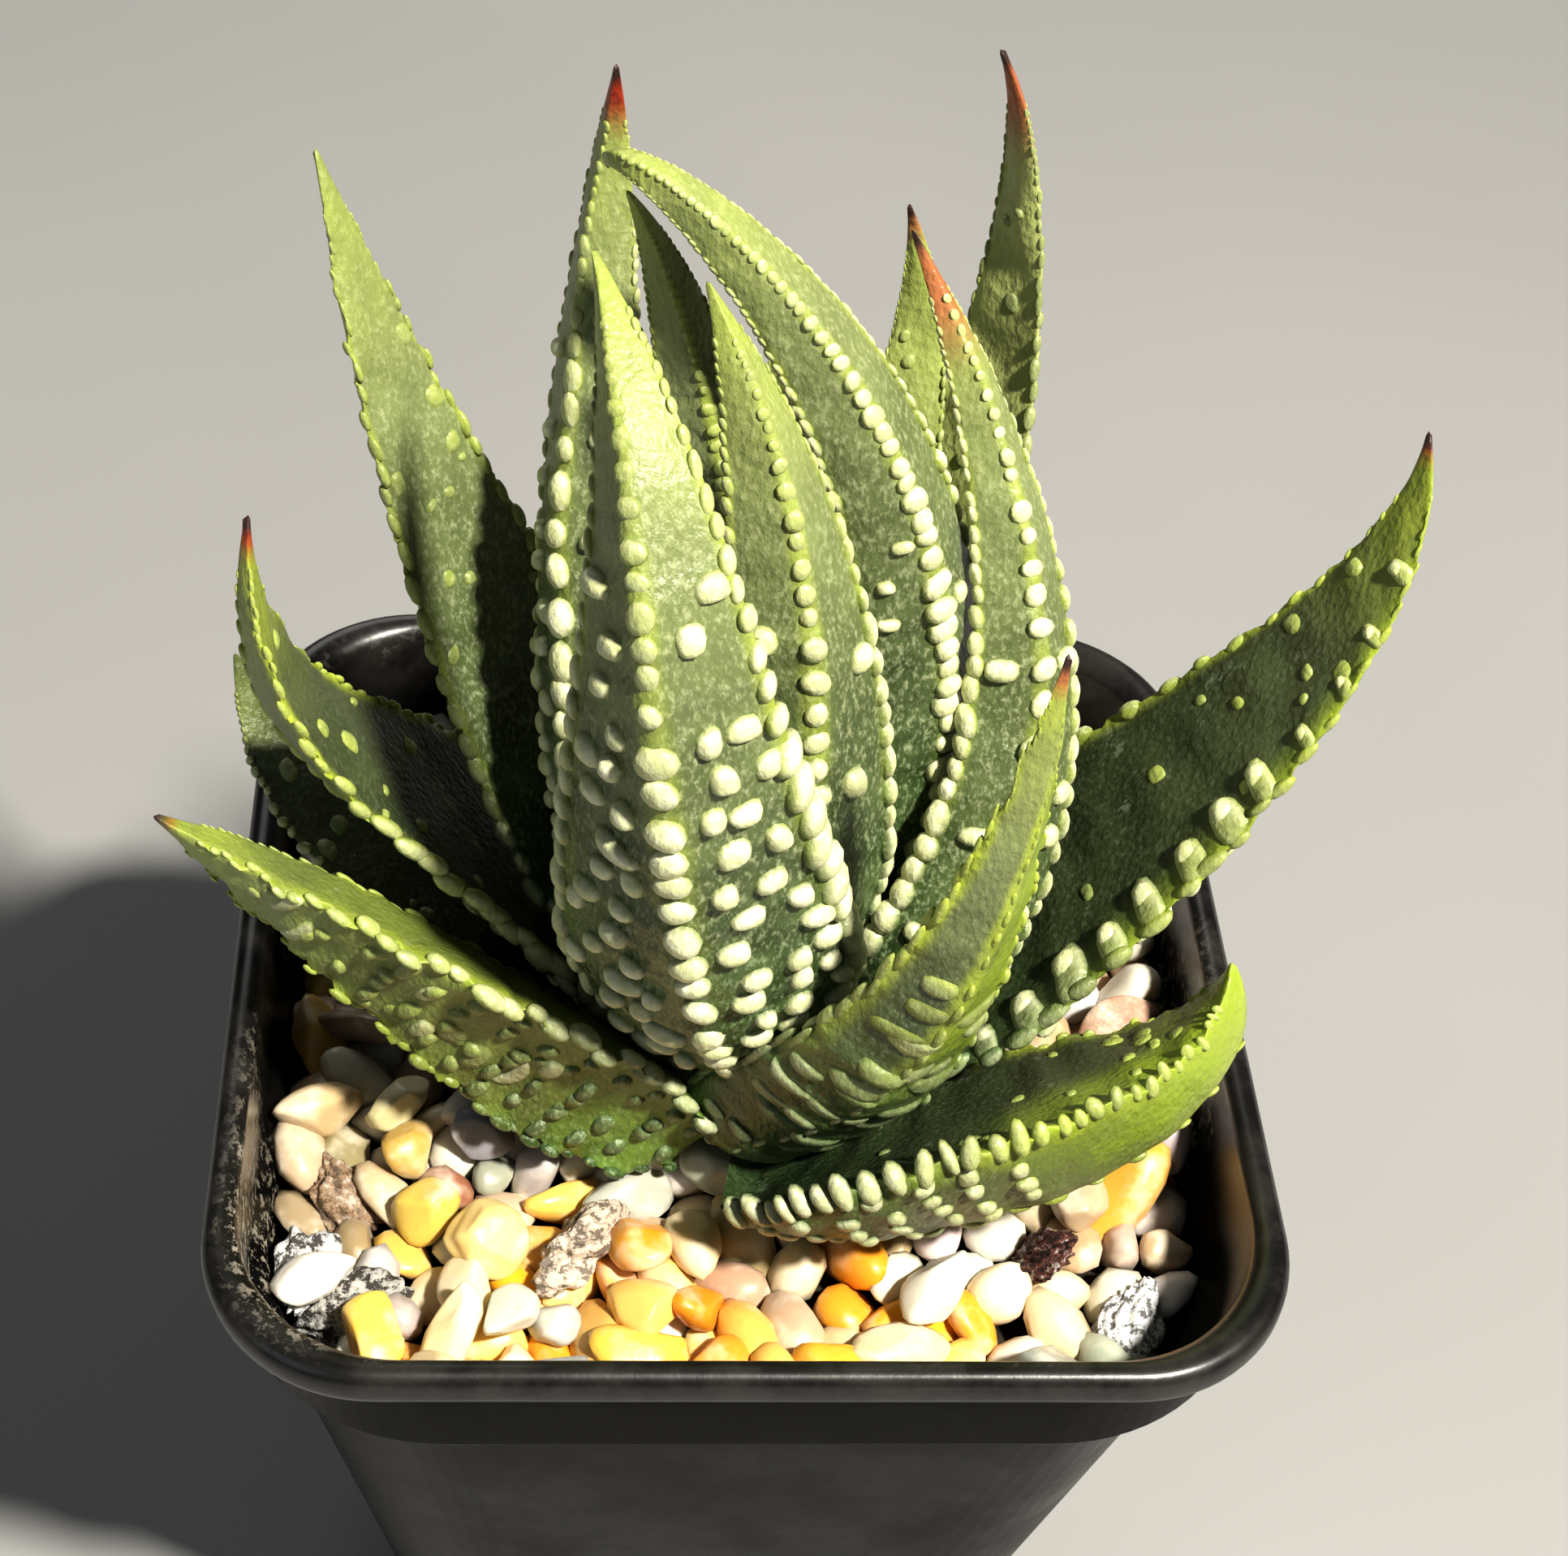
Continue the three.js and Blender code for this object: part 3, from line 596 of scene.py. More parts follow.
def add_bead(pile, skin, s, angle, across, along, height, pale, draw, bow=0, fade=False):
    """A low dome that follows the skin: half sizes across and along the leaf, its height, how much
    its ends bend to the tip, and whether it fades from one end to the other."""
    turn = np.arange(bead_around) * 2 * pi / bead_around
    pace = float(skin.at(s, angle, skin.pace))
    slant = draw(-0.12, 0.12)
    wobble = 1 + 0.07 * np.sin(2 * turn + draw(0, 6)) + 0.04 * np.sin(3 * turn + draw(0, 6))
    radius = np.array([ring[0] for ring in bead_rings] + [0])
    rise = np.array([ring[1] for ring in bead_rings] + [1])
    u = radius[:, None] * across * plump(np.cos(turn)) * wobble
    v = radius[:, None] * along * plump(np.sin(turn)) * wobble + slant * u + bow * u ** 2
    u[-1, 1:], v[-1, 1:] = u[-1, 0], v[-1, 0]
    spot = s + v / skin.length, angle + u / pace
    points = skin.at(*spot) + skin.at(*spot, skin.normal) * (rise * height)[:, None, None]
    flat = points.reshape(-1, 3)[:(len(radius) - 1) * bead_around + 1]
    white = np.repeat(ease(-0.05, 0.45, rise), bead_around)[:len(flat)] * pale
    if fade:
        ends = radius[:, None] * (0.5 + 0.5 * np.cos(turn))
        white = white * np.clip(ends.ravel()[:len(flat)] + 0.3, 0, 1)
    pile.add(flat, bead_faces, s, 0.6, white, 0, skin.leaf["yellow"], 0, 0, 0)


def unit_knob():
    """A closed round knob: points on a unit sphere in rings, and its faces."""
    tilt = np.linspace(0, pi, knob_rings + 1)[1:-1]
    turn = np.arange(bead_around) * 2 * pi / bead_around
    rings = [[(sin(a) * cos(b), sin(a) * sin(b), -cos(a)) for b in turn]
             for a in tilt]
    points = np.array([point for ring in rings for point in ring] + [(0, 0, 1), (0, 0, -1)])
    faces = ring_cap_faces(len(tilt), bead_around)
    faces += [((k + 1) % bead_around, k, len(points) - 1) for k in range(bead_around)]
    return points, faces


knob_points, knob_faces = unit_knob()


def add_knob(pile, skin, s, angle, across, along, height, pale, draw, sink):
    """A round bump on an edge or keel: its foot's half sizes and its height."""
    middle = skin.at(s, angle)
    row = min(skin.rows - 1, int(round(s / skin.s[-1] * (skin.rows - 1))))
    ahead = skin.along[row]
    up = skin.out[row] * sin(angle) + skin.side[row] * cos(angle)
    beside = np.cross(ahead, up)
    tilt = draw(-0.2, 0.2)
    shape = knob_points * (across, along, height)
    shape = shape * (1 + 0.06 * np.sin(3 * knob_points[:, :1] + draw(0, 6)))
    shape[:, 1] += tilt * shape[:, 0]
    points = middle - up * height * sink + shape[:, :1] * beside + shape[:, 1:2] * ahead + shape[:, 2:] * up
    white = ease(-0.05, 0.5, knob_points[:, 2] + 0.15) * pale
    pile.add(points, knob_faces, s, 0.8, white, 0, skin.leaf["yellow"], 0, 0, 0)


def add_row(pile, skin, angle, gap, foot, pale_end, draw, look, sink=0.3, open_root=1):
    """Bumps in a line from the root to near the tip, closer, smaller and greener as they go up."""
    leaf = skin.leaf
    spacing, large, pale_look, stretch = look
    pale_end += leaf["white"]
    s = row_start / skin.length
    while s < row_end:
        fade = 1 - float(ease(0.35, 0.95, s))
        size = leaf_scale(leaf) * large * (0.42 + 0.58 * fade)
        size *= min(1, 0.35 + float(leaf_half_width(leaf, s)) / 6) * draw(0.8, 1.14)
        pale = leaf["pale"] * pale_look * float(1 - 0.85 * ease(pale_end - 0.3, pale_end + 0.15, s))
        loose = open_root + (1 - open_root) * float(ease(0.2, 0.4, s))
        across, along, height = (part * size * draw(0.85, 1.15) for part in foot)
        add_knob(pile, skin, s, angle, across / stretch / loose ** 0.6,
                 along * stretch * (1.3 - 0.3 * fade), height * (0.7 + 0.3 * fade),
                 pale * draw(0.85, 1), draw, sink + 0.2 * (1 - fade))
        step = gap * spacing * loose * (1.35 - 0.35 * fade) * draw(0.85, 1.2)
        s += step * size / large / skin.length


def add_face(pile, skin, draw):
    """Ovals scattered in rows over the two halves of the back, or of the scaly face."""
    leaf = skin.leaf
    middle = keel * leaf["scaly"]
    share, large, pale_look, tall = leaf["face"]
    scale = leaf_scale(leaf) * large
    for row in range(1, int(skin.length * 0.8 / bead_gap)):
        s = row * bead_gap / skin.length
        chance = share * (1 - float(ease(leaf["reach"] - 0.14, leaf["reach"] + 0.08, s)))
        for hand in (1, -1):
            turns, reach = skin.reach_from(middle, s, hand)
            place = (3.1 if leaf["scaly"] > 0 else 1) * scale + (row % 2) * 1.3 + draw(-0.4, 0.4)
            while place < reach[-1] - 1.5:
                wide = (draw(1.5, 2.1) if draw() < wide_share else draw(0.8, 1.3)) * scale
                if draw() < chance:
                    add_bead(pile, skin, s + draw(-0.45, 0.45) / skin.length,
                             middle - hand * np.interp(place, reach, turns), wide,
                             draw(0.72, 0.95) * scale, draw(0.6, 0.85) * scale * tall,
                             leaf["pale"] * pale_look * draw(0.8, 1), draw)
                place += wide * 2 + draw(0.4, 1.5)


def add_ridges(pile, skin, draw):
    """Long low crescents across the back, or across the scaly face, a little paler than the skin."""
    start, end, share, pale = skin.leaf["ridges"]
    middle = keel * skin.leaf["scaly"]
    for s in np.arange(start, end, ridge_gap / skin.length):
        for hand in (1, -1):
            turns, reach = skin.reach_from(middle, s, hand)
            place = draw(1, 3)
            while place < reach[-1] - 1:
                long = draw(1.1, 2.6)
                if draw() < share:
                    add_bead(pile, skin, s + draw(-0.02, 0.02),
                             middle - hand * np.interp(place, reach, turns), long,
                             draw(0.6, 1.05), draw(0.24, 0.42), pale * draw(0.15, 1), draw,
                             draw(0.06, 0.16))
                place += long * 2 + draw(-0.6, 1.2)


def add_teeth(pile, skin, draw):
    """Short ridges that run from the second edge onto the inner face and grow into a cream knob."""
    for s in np.arange(0.08, 0.88, tooth_gap / skin.length):
        place = s + draw(-0.008, 0.008)
        size = draw(0.75, 1.2) * float(1 - 0.5 * ease(0.4, 0.88, s))
        turns, reach = skin.reach_from(-keel, s, 1)
        for inward, across, along, rise, pale, fade in tooth_parts:
            way = -keel - np.interp(reach[-1] - inward * size, reach, turns)
            add_bead(pile, skin, place, way, across * size, along * size, rise * size,
                     skin.leaf["pale"] * pale, draw, 0, fade)


def add_inner_bumps(pile, skin, draw):
    """A few low green bumps on the inner face."""
    for _ in range(inner_bumps):
        s = draw(0.2, 0.85)
        angle = -keel + draw(-0.9, 0.9)
        size = draw(0.35, 0.75)
        add_bead(pile, skin, s, angle, size, size * draw(0.8, 1.3), 0.22, inner_pale, draw)


def add_bumps(pile, skin, draw):
    """Everything that stands out of a leaf's skin."""
    leaf = skin.leaf
    first, second = (leaf.get(side, leaf["edges"]) for side in ("first_edge", "second_edge"))
    add_row(pile, skin, 0, margin_gap, margin_foot, 0.7, draw, first)
    add_row(pile, skin, pi, margin_gap, margin_foot, 0.7, draw, second)
    add_row(pile, skin, keel, keel_gap, keel_foot, 0.6, draw, leaf["keel"], 0.25, 1.3)
    add_face(pile, skin, draw)
    add_inner_bumps(pile, skin, draw)
    if leaf["ridges"]:
        add_ridges(pile, skin, draw)
    if leaf["teeth"]:
        add_teeth(pile, skin, draw)


def leaf_piece(name, leaf, material, seed):
    skin = LeafSkin(leaf, seed)
    pile = Pile(*leaf_values)
    columns = leaf_columns
    height = min(skin.root[2], gravel_top + crown_height - stem_gap)
    toward = skin.root[:2] - (0, plant_y)
    toward *= (crown_radius - crown_taper * (height - gravel_top) + stem_gap) / norm(toward)
    foot = np.array([toward[0], toward[1] + plant_y, height])
    throat = [foot + (skin.grid[0] - foot) * share for share in (0.3, 0.7)]
    points = np.concatenate([*throat, skin.grid.reshape(-1, 3), [foot, skin.tip]])
    rings = skin.rows + len(throat)
    last = (rings - 1) * columns
    faces = [face[::-1] for face in grid_faces(rings, columns)]
    faces += [(k, (k + 1) % columns, rings * columns) for k in range(columns)]
    faces += [(last + (k + 1) % columns, last + k, rings * columns + 1) for k in range(columns)]
    s = np.concatenate([np.zeros(len(throat) * columns), np.repeat(skin.s, columns), [0, 1]])
    angle = np.concatenate([np.tile(skin.angle, rings), [0, 0]])
    # Where the edges and keel get their painted backlit glow.
    edge = np.maximum(ease(leaf["glow"], 1, np.abs(np.cos(angle))),
                      ease(0.97, 1, np.sin(angle)) * 0.8)
    # How much the inner face is painted darker as shade.
    inner = ease(0, 0.25, -np.sin(angle) * leaf["scaly"]) * leaf["slate"]
    # Share of the side that is painted yellow-green as sunlit.
    side, low, high, strong, start = leaf["sun"]
    sun = strong * ease(low, high, np.cos(angle - side)) * ease(start, start + 0.3, s)
    dry = ease(1 - leaf["dry"] * 1.2, 1 - leaf["dry"] * 0.5, s) if leaf["dry"] else 0
    pile.add(points, faces, s, edge, 0, inner, leaf["yellow"], dry, leaf["brown"], sun)
    add_bumps(pile, skin, np.random.RandomState(seed).uniform)
    dress(pile.piece(f"{name}_skin", material), "leaf", f"leaf_{name}")
    return skin


# Gravel
stone_count = 400
stone_seed = 5
stone_spread = 33
low_skin = gravel_top + 8
settle_steps = 170
reach_share = 0.93
stone_closeness = 0.94
leaf_clearance = 0.9
stone_push = 0.3
stone_fall = 0.12
longest_push = 1.2
longest_leaf_push = 0.8
longest_move = 0.7
gravel_floor = soil_top + 0.6
stone_sizes = ((2.5, 4.6), (1.8, 2.8), (1.35, 2.2))
# A stone that a leaf bites deeper than this is left out; an odd stone has to lie clearer.
deepest_bite = 0.82
clear_bite = 1.35
stone_taper = 0.34
stone_flats = 7
flat_reach = (0.56, 0.9)
flat_depth = 0.88
stone_waves = 0.025
rugged_height = 0.09
fill_half = 36.6
fill_corner = 17.5
wall_lean = (body_top_half - base_half) / body_top
wall_touch = 0.25
# Stones whose middles lie deeper than these below the gravel's top have fewer faces.
fine_depth = 2.2
hidden_depth = 4

# Stones' colours, and their shares at the back and in front.
stone_kinds = (
    ((0.76, 0.71, 0.62), 0.38, 0.16),  # white
    ((0.87, 0.7, 0.43), 0.2, 0.29),  # cream
    ((0.88, 0.58, 0.15), 0.06, 0.3),  # yellow
    ((0.78, 0.36, 0.025), 0.03, 0.19),  # amber
    ((0.5, 0.36, 0.22), 0.15, 0.04),  # tan
    ((0.45, 0.44, 0.41), 0.15, 0.01),  # grey
    ((0.36, 0.17, 0.08), 0.03, 0.01),  # rusty
)
# Odd stones: where they lie, in mm, their colour, how much larger they are and how pitted.
odd_stones = (
    (-35.2, -20.4, (0.5, 0.5, 0.5), 1.1, 1), (-32.3, -23, (0.3, 0.34, 0.36), 1, 1),
    (-32.7, -29.1, (0.42, 0.41, 0.38), 1.25, 1), (-12.3, -20.6, (0.55, 0.45, 0.36), 1.3, 0.8),
    (21.6, -22.6, (0.11, 0.035, 0.025), 1.15, 1), (32.2, -30.3, (0.62, 0.63, 0.64), 1.25, 0.9),
    (32.5, 0.7, (0.48, 0.29, 0.2), 1.2, 0.2), (32, -14.4, (0.72, 0.38, 0.06), 1.5, 0),
    (-35.9, -5.6, (0.5, 0.37, 0.24), 1.2, 0), (-35.5, -12, (0.52, 0.4, 0.27), 1.2, 0),
    (-31.7, -17.4, (0.26, 0.17, 0.1), 1.1, 0.7), (8.4, -19.3, (0.78, 0.33, 0.02), 1.2, 0),
    (17.4, -27.1, (0.74, 0.34, 0.03), 1, 0), (-8.7, -30.1, (0.86, 0.52, 0.09), 1.25, 0),
    (4.8, -31.1, (0.82, 0.44, 0.05), 1.2, 0), (-20.5, -21.5, (0.86, 0.64, 0.27), 1.4, 0),
    (0.5, -27, (0.82, 0.5, 0.12), 1.3, 0), (-35.7, -25.6, (0.84, 0.8, 0.72), 1.1, 0),
)


def stone_turns(random, count):
    """Turned axes of stones that lie mostly flat."""
    turns = np.zeros((count, 3, 3))
    for k in range(count):
        flat = Matrix.Rotation(random.uniform(0, pi * 2), 3, "Z")
        tip = Matrix.Rotation(random.normal(0, 0.45), 3, "Y")
        roll = Matrix.Rotation(random.normal(0, 0.5), 3, "X")
        turns[k] = np.array(flat @ tip @ roll)
    return turns


def apart(places, others, turns, sizes):
    """Distances and ways from others to stones, and how far the stones reach along those ways."""
    gap = places[:, None, :] - others[None, :, :]
    away = norm(gap, axis=2) + 1e-6
    way = gap / away[:, :, None]
    own = np.einsum("ikl,ijk->ijl", turns, way) / sizes[:, None, :]
    return away, way, 1 / np.maximum(norm(own, axis=2), 1e-6)


def settle(places, turns, sizes, blocks):
    """Push stones apart, down and away from the walls, the stem and the leaves until they lie close."""
    rows = np.arange(len(places))
    for _ in range(settle_steps):
        away, way, radius = apart(places, places, turns, sizes)
        need = (radius + radius.T) * stone_closeness - away
        np.fill_diagonal(need, 0)
        move = (way * np.clip(need, 0, longest_push)[:, :, None]).sum(1) * stone_push
        away, way, radius = apart(places, blocks, turns, sizes)
        need = radius + leaf_clearance - away
        nearest = need.argmax(1)
        move += way[rows, nearest] * np.clip(need[rows, nearest], 0, longest_leaf_push)[:, None]
        move[:, 2] -= stone_fall
        length = norm(move, axis=1)[:, None]
        places = places + move * np.minimum(1, longest_move / (length + 1e-9))
        places = hold_in(places, turns, sizes)
    return places


def hold_in(places, turns, sizes):
    """Keep the stones inside the pot and on the soil."""
    reach = np.sqrt(((turns * sizes[:, None, :]) ** 2).sum(2)) * reach_share
    places[:, 2] = np.maximum(places[:, 2], gravel_floor + reach[:, 2])
    plan, reach = places[:, :2], reach[:, :2]
    plan[:] = np.clip(plan, reach - fill_half, fill_half - reach)
    flat = fill_half - fill_corner
    over = np.maximum(0, np.abs(plan) - flat)
    far = norm(over, axis=1)
    allowed = fill_corner - reach.mean(1)
    tight = (far > allowed) & (over.min(1) > 0)
    pull = np.where(tight, allowed / np.maximum(far, 1e-6), 1)[:, None]
    plan[:] = np.where(over > 0, np.sign(plan) * (flat + over * pull), plan)
    stem = plan - (0, plant_y)
    out = norm(stem, axis=1)
    clear = stem_radius + reach.mean(1)
    shove = np.where(out < clear, clear / np.maximum(out, 1e-6), 1)[:, None]
    plan[:] = (0, plant_y) + stem * shove
    return places


def past_wall(points):
    """The shift that takes a stone back inside the pot's wall, where it reaches into it."""
    narrower = wall_lean * np.maximum(0, body_top - points[:, 2])
    flat = (fill_half - narrower - fill_corner)[:, None]
    over = np.maximum(0, np.abs(points[:, :2]) - flat)
    far = norm(over, axis=1)
    worst = (far - fill_corner).argmax()
    deep = max(0, far[worst] - fill_corner - wall_touch)
    way = np.sign(points[worst, :2]) * over[worst] / max(far[worst], 1e-6)
    return -deep * np.array([*way, 0])


def ball(detail):
    mesh = bmesh.new()
    bmesh.ops.create_icosphere(mesh, subdivisions=detail, radius=1)
    points = np.array([vertex.co[:] for vertex in mesh.verts])
    faces = [tuple(vertex.index for vertex in face.verts) for face in mesh.faces]
    mesh.free()
    return points, faces


def worn(points, random):
    """A unit ball worn into a pebble: one end slimmer, soft flats cut at random, and slow waves."""
    shape = points.copy()
    shape[:, 1:] *= 1 + random.uniform(-stone_taper, stone_taper) * shape[:, :1]
    for _ in range(stone_flats):
        way = random.normal(size=3)
        way /= norm(way)
        over = np.maximum(0, shape @ way - random.uniform(*flat_reach))
        shape -= over[:, None] * way * flat_depth
    wave = sum(np.sin(points @ random.normal(0, 2.4, 3) + random.uniform(0, 6)) for _ in range(4))
    return shape * (1 + stone_waves * wave)[:, None]


def gravel_pieces(skins):
    random = np.random.RandomState(stone_seed)
    sizes = np.stack([random.uniform(*span, stone_count) for span in stone_sizes], 1)
    turns = stone_turns(random, stone_count)
    spread = (-stone_spread, stone_spread)
    spans = (spread, spread, (gravel_floor + 2, gravel_top + 3))
    places = np.stack([random.uniform(*span, stone_count) for span in spans], 1)
    every, few = (np.concatenate([skin.grid[::row, ::column].reshape(-1, 3) for skin in skins])
                  for row, column in ((1, 1), (2, 4)))
    places = settle(places, turns, sizes, few[few[:, 2] < low_skin])
    inside = bites(places, turns, sizes, every[every[:, 2] < low_skin])
    stone_colours, back_shares, front_shares = zip(*stone_kinds)
    pile = Pile("rough")
    colours = []
    fine, middling, coarse, rugged = ball(4), ball(3), ball(2), ball(5)
    odd = {}
    for x, y, *look in odd_stones:
        away = norm(places[:, :2] - (x, y), axis=1) + 99 * (inside < clear_bite)
        away -= places[:, 2] * 0.5
        odd[int(away.argmin())] = look
    for k in range(stone_count):
        if inside[k] < deepest_bite:
            continue
        own, larger, rough = odd.get(k, (None, 1, 0))
        depth = gravel_top - places[k, 2]
        points, faces = (rugged if rough > 0.5 else fine if depth < fine_depth
                         else middling if depth < hidden_depth else coarse)
        shape = worn(points, random) * sizes[k] * larger
        if rough > 0.5:
            shape *= 1 + rugged_height * rugged_waves(points, random)[:, None]
        shape = shape @ turns[k].T + places[k]
        pile.add(shape + past_wall(shape), faces, rough)
        front = ease(-12, -24, places[k, 1]) * ease(30, 16, abs(places[k, 0] + 4))
        shares = np.array(back_shares) * (1 - front) + np.array(front_shares) * front
        drawn = np.array(stone_colours[random.choice(len(stone_colours), p=shares / shares.sum())])
        # Stones on the left are painted darker: a painted shadow of the leaves above them.
        shade = 1 - 0.3 * ease(-12, -24, places[k, 0]) * ease(-26, -14, places[k, 1])
        drawn = np.clip(drawn * shade * random.uniform(0.82, 1.12) + random.normal(0, 0.02, 3), 0.02, 0.92)
        colours.append(np.tile([*(drawn if own is None else own), 1], (len(points), 1)))
    piece = pile.piece("gravel_stones", pebble_paint())
    layer = piece.data.attributes.new("stone_colour", "FLOAT_COLOR", "POINT")
    layer.data.foreach_set("color", np.concatenate(colours).astype(np.float32).ravel())
    dress(piece, "gravel", "gravel")


def bites(places, turns, sizes, points):
    """How near each stone's middle the leaves' skins come, where 1 is its surface."""
    nearest = []
    for place, turn, size in zip(places, turns, sizes):
        near = points[np.abs(points - place).max(1) < 6] - place
        nearest.append(norm(near @ turn / size, axis=1).min() if len(near) else 9)
    return np.array(nearest)


def rugged_waves(points, random):
    """Sharp little waves over a unit ball."""
    total = 0
    for size in (4, 7, 11, 17):
        way = random.normal(0, size, 3)
        total = total + np.sin(points @ way + 2 * np.sin(points @ random.normal(0, size / 2, 3))) * 5 / size
    return total


# Pot
corner_steps = 18
side_steps = 12
# Where the wall is dusty inside, and how widely, in mm.
dust_places = ((-36, 24, 14), (-37, -30, 9), (38, -20, 10))


def rounded_square(half, corner):
    flat = half - corner
    points = []
    for quarter in range(4):
        turn = Matrix.Rotation(quarter * pi / 2, 2)
        for step in range(side_steps):
            points.append(turn @ Vector((half, -flat + 2 * flat * step / side_steps)))
        for step in range(corner_steps):
            angle = step / corner_steps * pi / 2
            points.append(turn @ Vector((flat + corner * cos(angle), flat + corner * sin(angle))))
    return np.array([point[:] for point in points])


def pot_profile():
    """Rings from under the pot, over its rim and down to its floor, each with its half width, height,
    corner and share of dust. Each run has the three sizes it starts from and steps away from them."""
    lip = (rim_half - rim_inner_half) / 2
    low_half = base_half + (body_top_half - base_half) * floor_thickness / body_top
    runs = (
        (1.5, 0, 1.4, ((0, 0, 0, 0),)),
        (base_half, 0, base_corner,
         ((-2.4, 0, -2.4, 0), (-1.1, 0.12, -1.1, 0), (-0.35, 0.55, -0.35, 0), (0, 1.3, 0, 0))),
        (body_top_half, body_top, body_top_corner, ((-0.02, -0.4, 0, 0), (0.1, -0.1, -0.3, 0))),
        (collar_half, body_top, collar_corner, ((-0.25, 0.3, 0.3, 0), (0, 0.9, 0, 0))),
        (collar_half, neck, collar_corner, ((0.05, -0.35, -1, 0), (0.15, 0, -2, 0))),
        (rim_half, neck, rim_corner, ((-0.45, 0.1, -0.4, 0), (-0.12, 0.4, 0, 0), (-0.02, 0.9, 0, 0))),
        (rim_half, pot_height, rim_corner,
         ((-0.02, -1.2, 0, 0), (-0.15, -0.62, -0.15, 0), (-0.55, -0.2, -0.5, 0), (-0.95, -0.02, -0.9, 0.1),
          (-lip - 0.3, -0.02, -lip - 0.1, 0.2))),
        (rim_inner_half, pot_height, rim_corner,
         ((0.45, -0.22, 0.2 - lip, 0.5), (0.1, -0.7, -0.4, 1), (0, -1.4, 0, 1))),
        (rim_inner_half, body_top, collar_corner, ((-0.2, 1, -wall, 1),)),
        (body_top_half, body_top, body_top_corner, ((-wall, -0.8, -wall, 1),)),
        (low_half, floor_thickness, base_corner, ((-wall, 0, -wall, 1),)),
        (1.5, floor_thickness, 1.4, ((0, 0, 0, 1),)),
    )
    return [(half + out, height + up, corner + rounder, dust)
            for half, height, corner, steps in runs for out, up, rounder, dust in steps]


def pot_piece():
    profile = pot_profile()
    rings = [rounded_square(half, corner) for half, _, corner, _ in profile]
    around = len(rings[0])
    points = np.concatenate([np.column_stack([ring, np.full(around, row[1])])
                             for ring, row in zip(rings, profile)])
    last = (len(profile) - 1) * around
    faces = grid_faces(len(profile), around)
    faces += [tuple(range(around))[::-1], tuple(last + k for k in range(around))]
    dust = 0.25 + sum(np.exp(-((points[:, 0] - x) ** 2 + (points[:, 1] - y) ** 2) / 2 / spread ** 2)
                      for x, y, spread in dust_places)
    rim = ease(neck - 0.2, neck + 0.3, points[:, 2])
    pile = Pile("inside", "rim")
    pile.add(points, faces, np.repeat([row[3] for row in profile], around) * np.minimum(1, dust), rim)
    piece = pile.piece("pot_shell", pot_paint())
    drill = bmesh.new()
    for x in (1, -1):
        for y in (1, -1):
            place = Matrix.Translation(Vector((x, y, 0)) * drain_reach * MM)
            bmesh.ops.create_cone(drill, cap_ends=True, segments=32, radius1=drain_radius * MM,
                                  radius2=drain_radius * MM, depth=4 * floor_thickness * MM, matrix=place)
    drill_mesh = bpy.data.meshes.new("drain_drill")
    drill.to_mesh(drill_mesh)
    drill.free()
    cutter = put("drain_drill", drill_mesh)
    cut = piece.modifiers.new("drain", "BOOLEAN")
    cut.operation = "DIFFERENCE"
    cut.solver = "EXACT"
    cut.object = cutter
    drilled = bpy.data.meshes.new_from_object(piece.evaluated_get(bpy.context.evaluated_depsgraph_get()))
    piece.modifiers.clear()
    piece.data = drilled
    bpy.data.objects.remove(cutter)
    dress(piece, "pot_plastic", "pot")


# Room, in metres
floor_half = 1.6
heart = (0, -0.01, 0.1)


def add_area(name, place, size, power, colour):
    """A soft round lamp that is aimed at the plant."""
    light = bpy.data.lights.new(name, "AREA")
    light.shape = "DISK"
    light.size = size
    light.energy = power
    light.color = colour
    lamp = put(name, light)
    lamp.location = place
    lamp.rotation_euler = (Vector(heart) - Vector(place)).to_track_quat("-Z", "Y").to_euler()


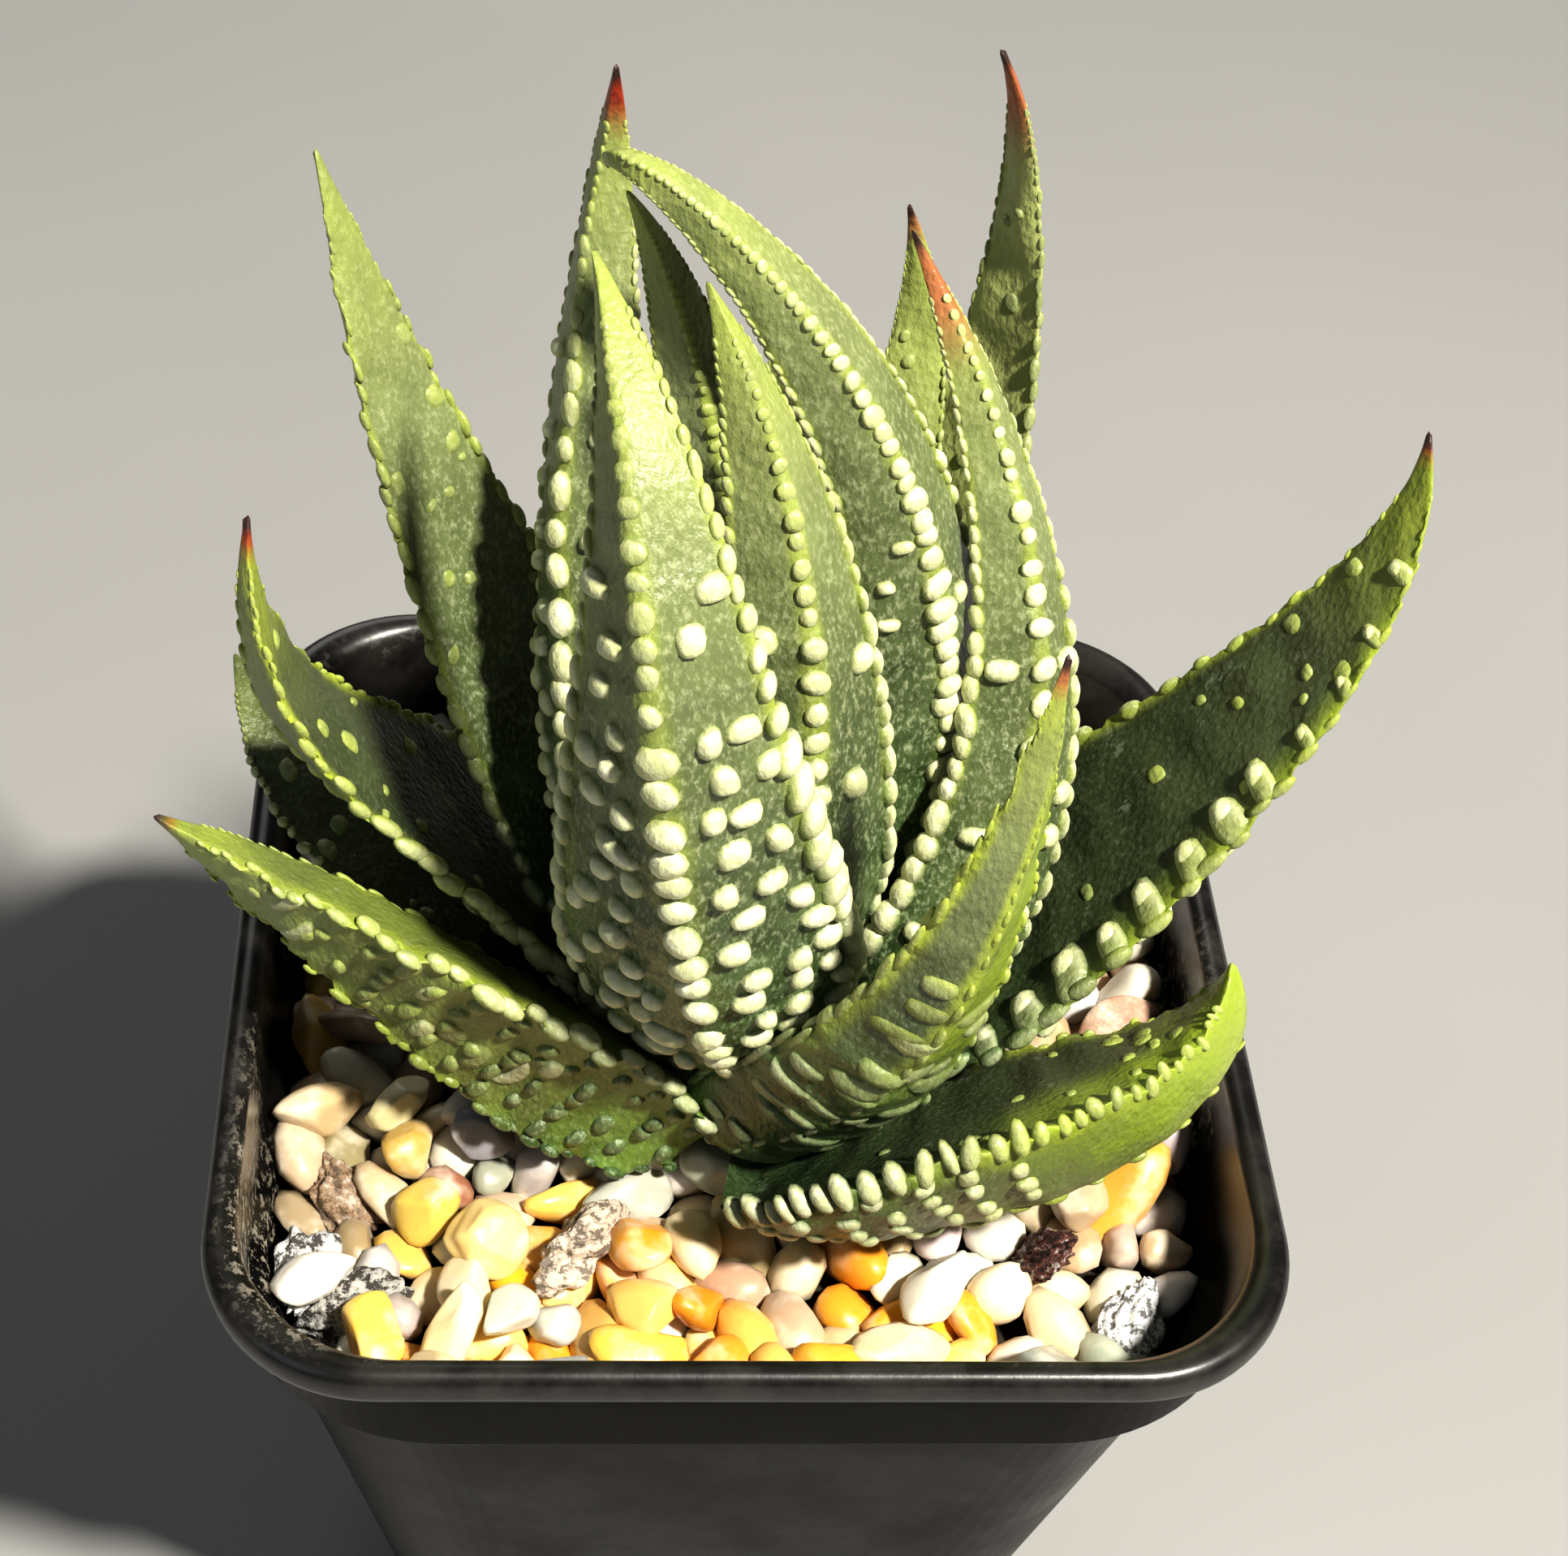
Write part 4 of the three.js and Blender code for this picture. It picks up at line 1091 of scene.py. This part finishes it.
def room():
    paint = Paint("pale_floor")
    tone = paint.shade(paint.noise(6), 0.3, 0.7, (0.33, 0.33, 0.325), (0.35, 0.35, 0.345))
    mesh = bpy.data.meshes.new("floor")
    corners = [(x * floor_half, y * floor_half, 0) for x, y in ((-1, -1), (1, -1), (1, 1), (-1, 1))]
    mesh.from_pydata(corners, [], [(0, 1, 2, 3)])
    mesh.materials.append(paint.finish(Base_Color=tone, Roughness=0.85))
    floor = put("floor", mesh)
    world = bpy.data.worlds.new("studio")
    world.use_nodes = True
    sky = world.node_tree.nodes["Background"].inputs
    sky["Color"].default_value = (0.92, 0.95, 1, 1)
    sky["Strength"].default_value = 0.05
    bpy.context.scene.world = world
    view = bpy.context.scene.view_settings
    view.view_transform = "Standard"
    view.gamma = 0.85
    add_area("key", (0.37, -0.39, 0.888), 0.08, 24, (1, 0.95, 0.86))
    add_area("fill", (-0.6, -0.5, 0.5), 0.6, 0.8, (0.78, 0.88, 1))
    add_area("back", (-0.1, 0.7, 0.55), 0.5, 1.5, (1, 0.98, 0.94))


# Camera: the photograph's place in mm, and its angle
camera_place = (-17.3, -144.5, 241)
camera_yaw = radians(7.55)
camera_pitch = radians(44.9)
camera_roll = radians(6.6)
photo_width = 1932
focal_pixels = 3380
sensor = 36


def camera():
    lens = bpy.data.cameras.new("photo_camera")
    lens.sensor_width = sensor
    lens.lens = focal_pixels / photo_width * sensor
    lens.clip_start = 0.01
    eye = put("photo_camera", lens)
    turns = ((-camera_yaw, "Z"), (pi / 2 - camera_pitch, "X"), (camera_roll, "Z"))
    level, down, rolled = (Matrix.Rotation(turn, 4, axis) for turn, axis in turns)
    eye.matrix_world = Matrix.Translation(Vector(camera_place) * MM) @ level @ down @ rolled
    bpy.context.scene.camera = eye


def repaint(node, material):
    """Give a carried-over solid its procedural material."""
    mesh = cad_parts[node].data
    mesh.materials.clear()
    mesh.materials.append(material)


camera()
room()
pot_piece()
skin_material = leaf_paint()
skins = [leaf_piece(name, looks, skin_material, seed)
         for seed, (name, looks) in enumerate(leaves.items(), first_leaf_seed)]
gravel_pieces(skins)
repaint("soil", soil_paint())
repaint("stem", stem_paint())
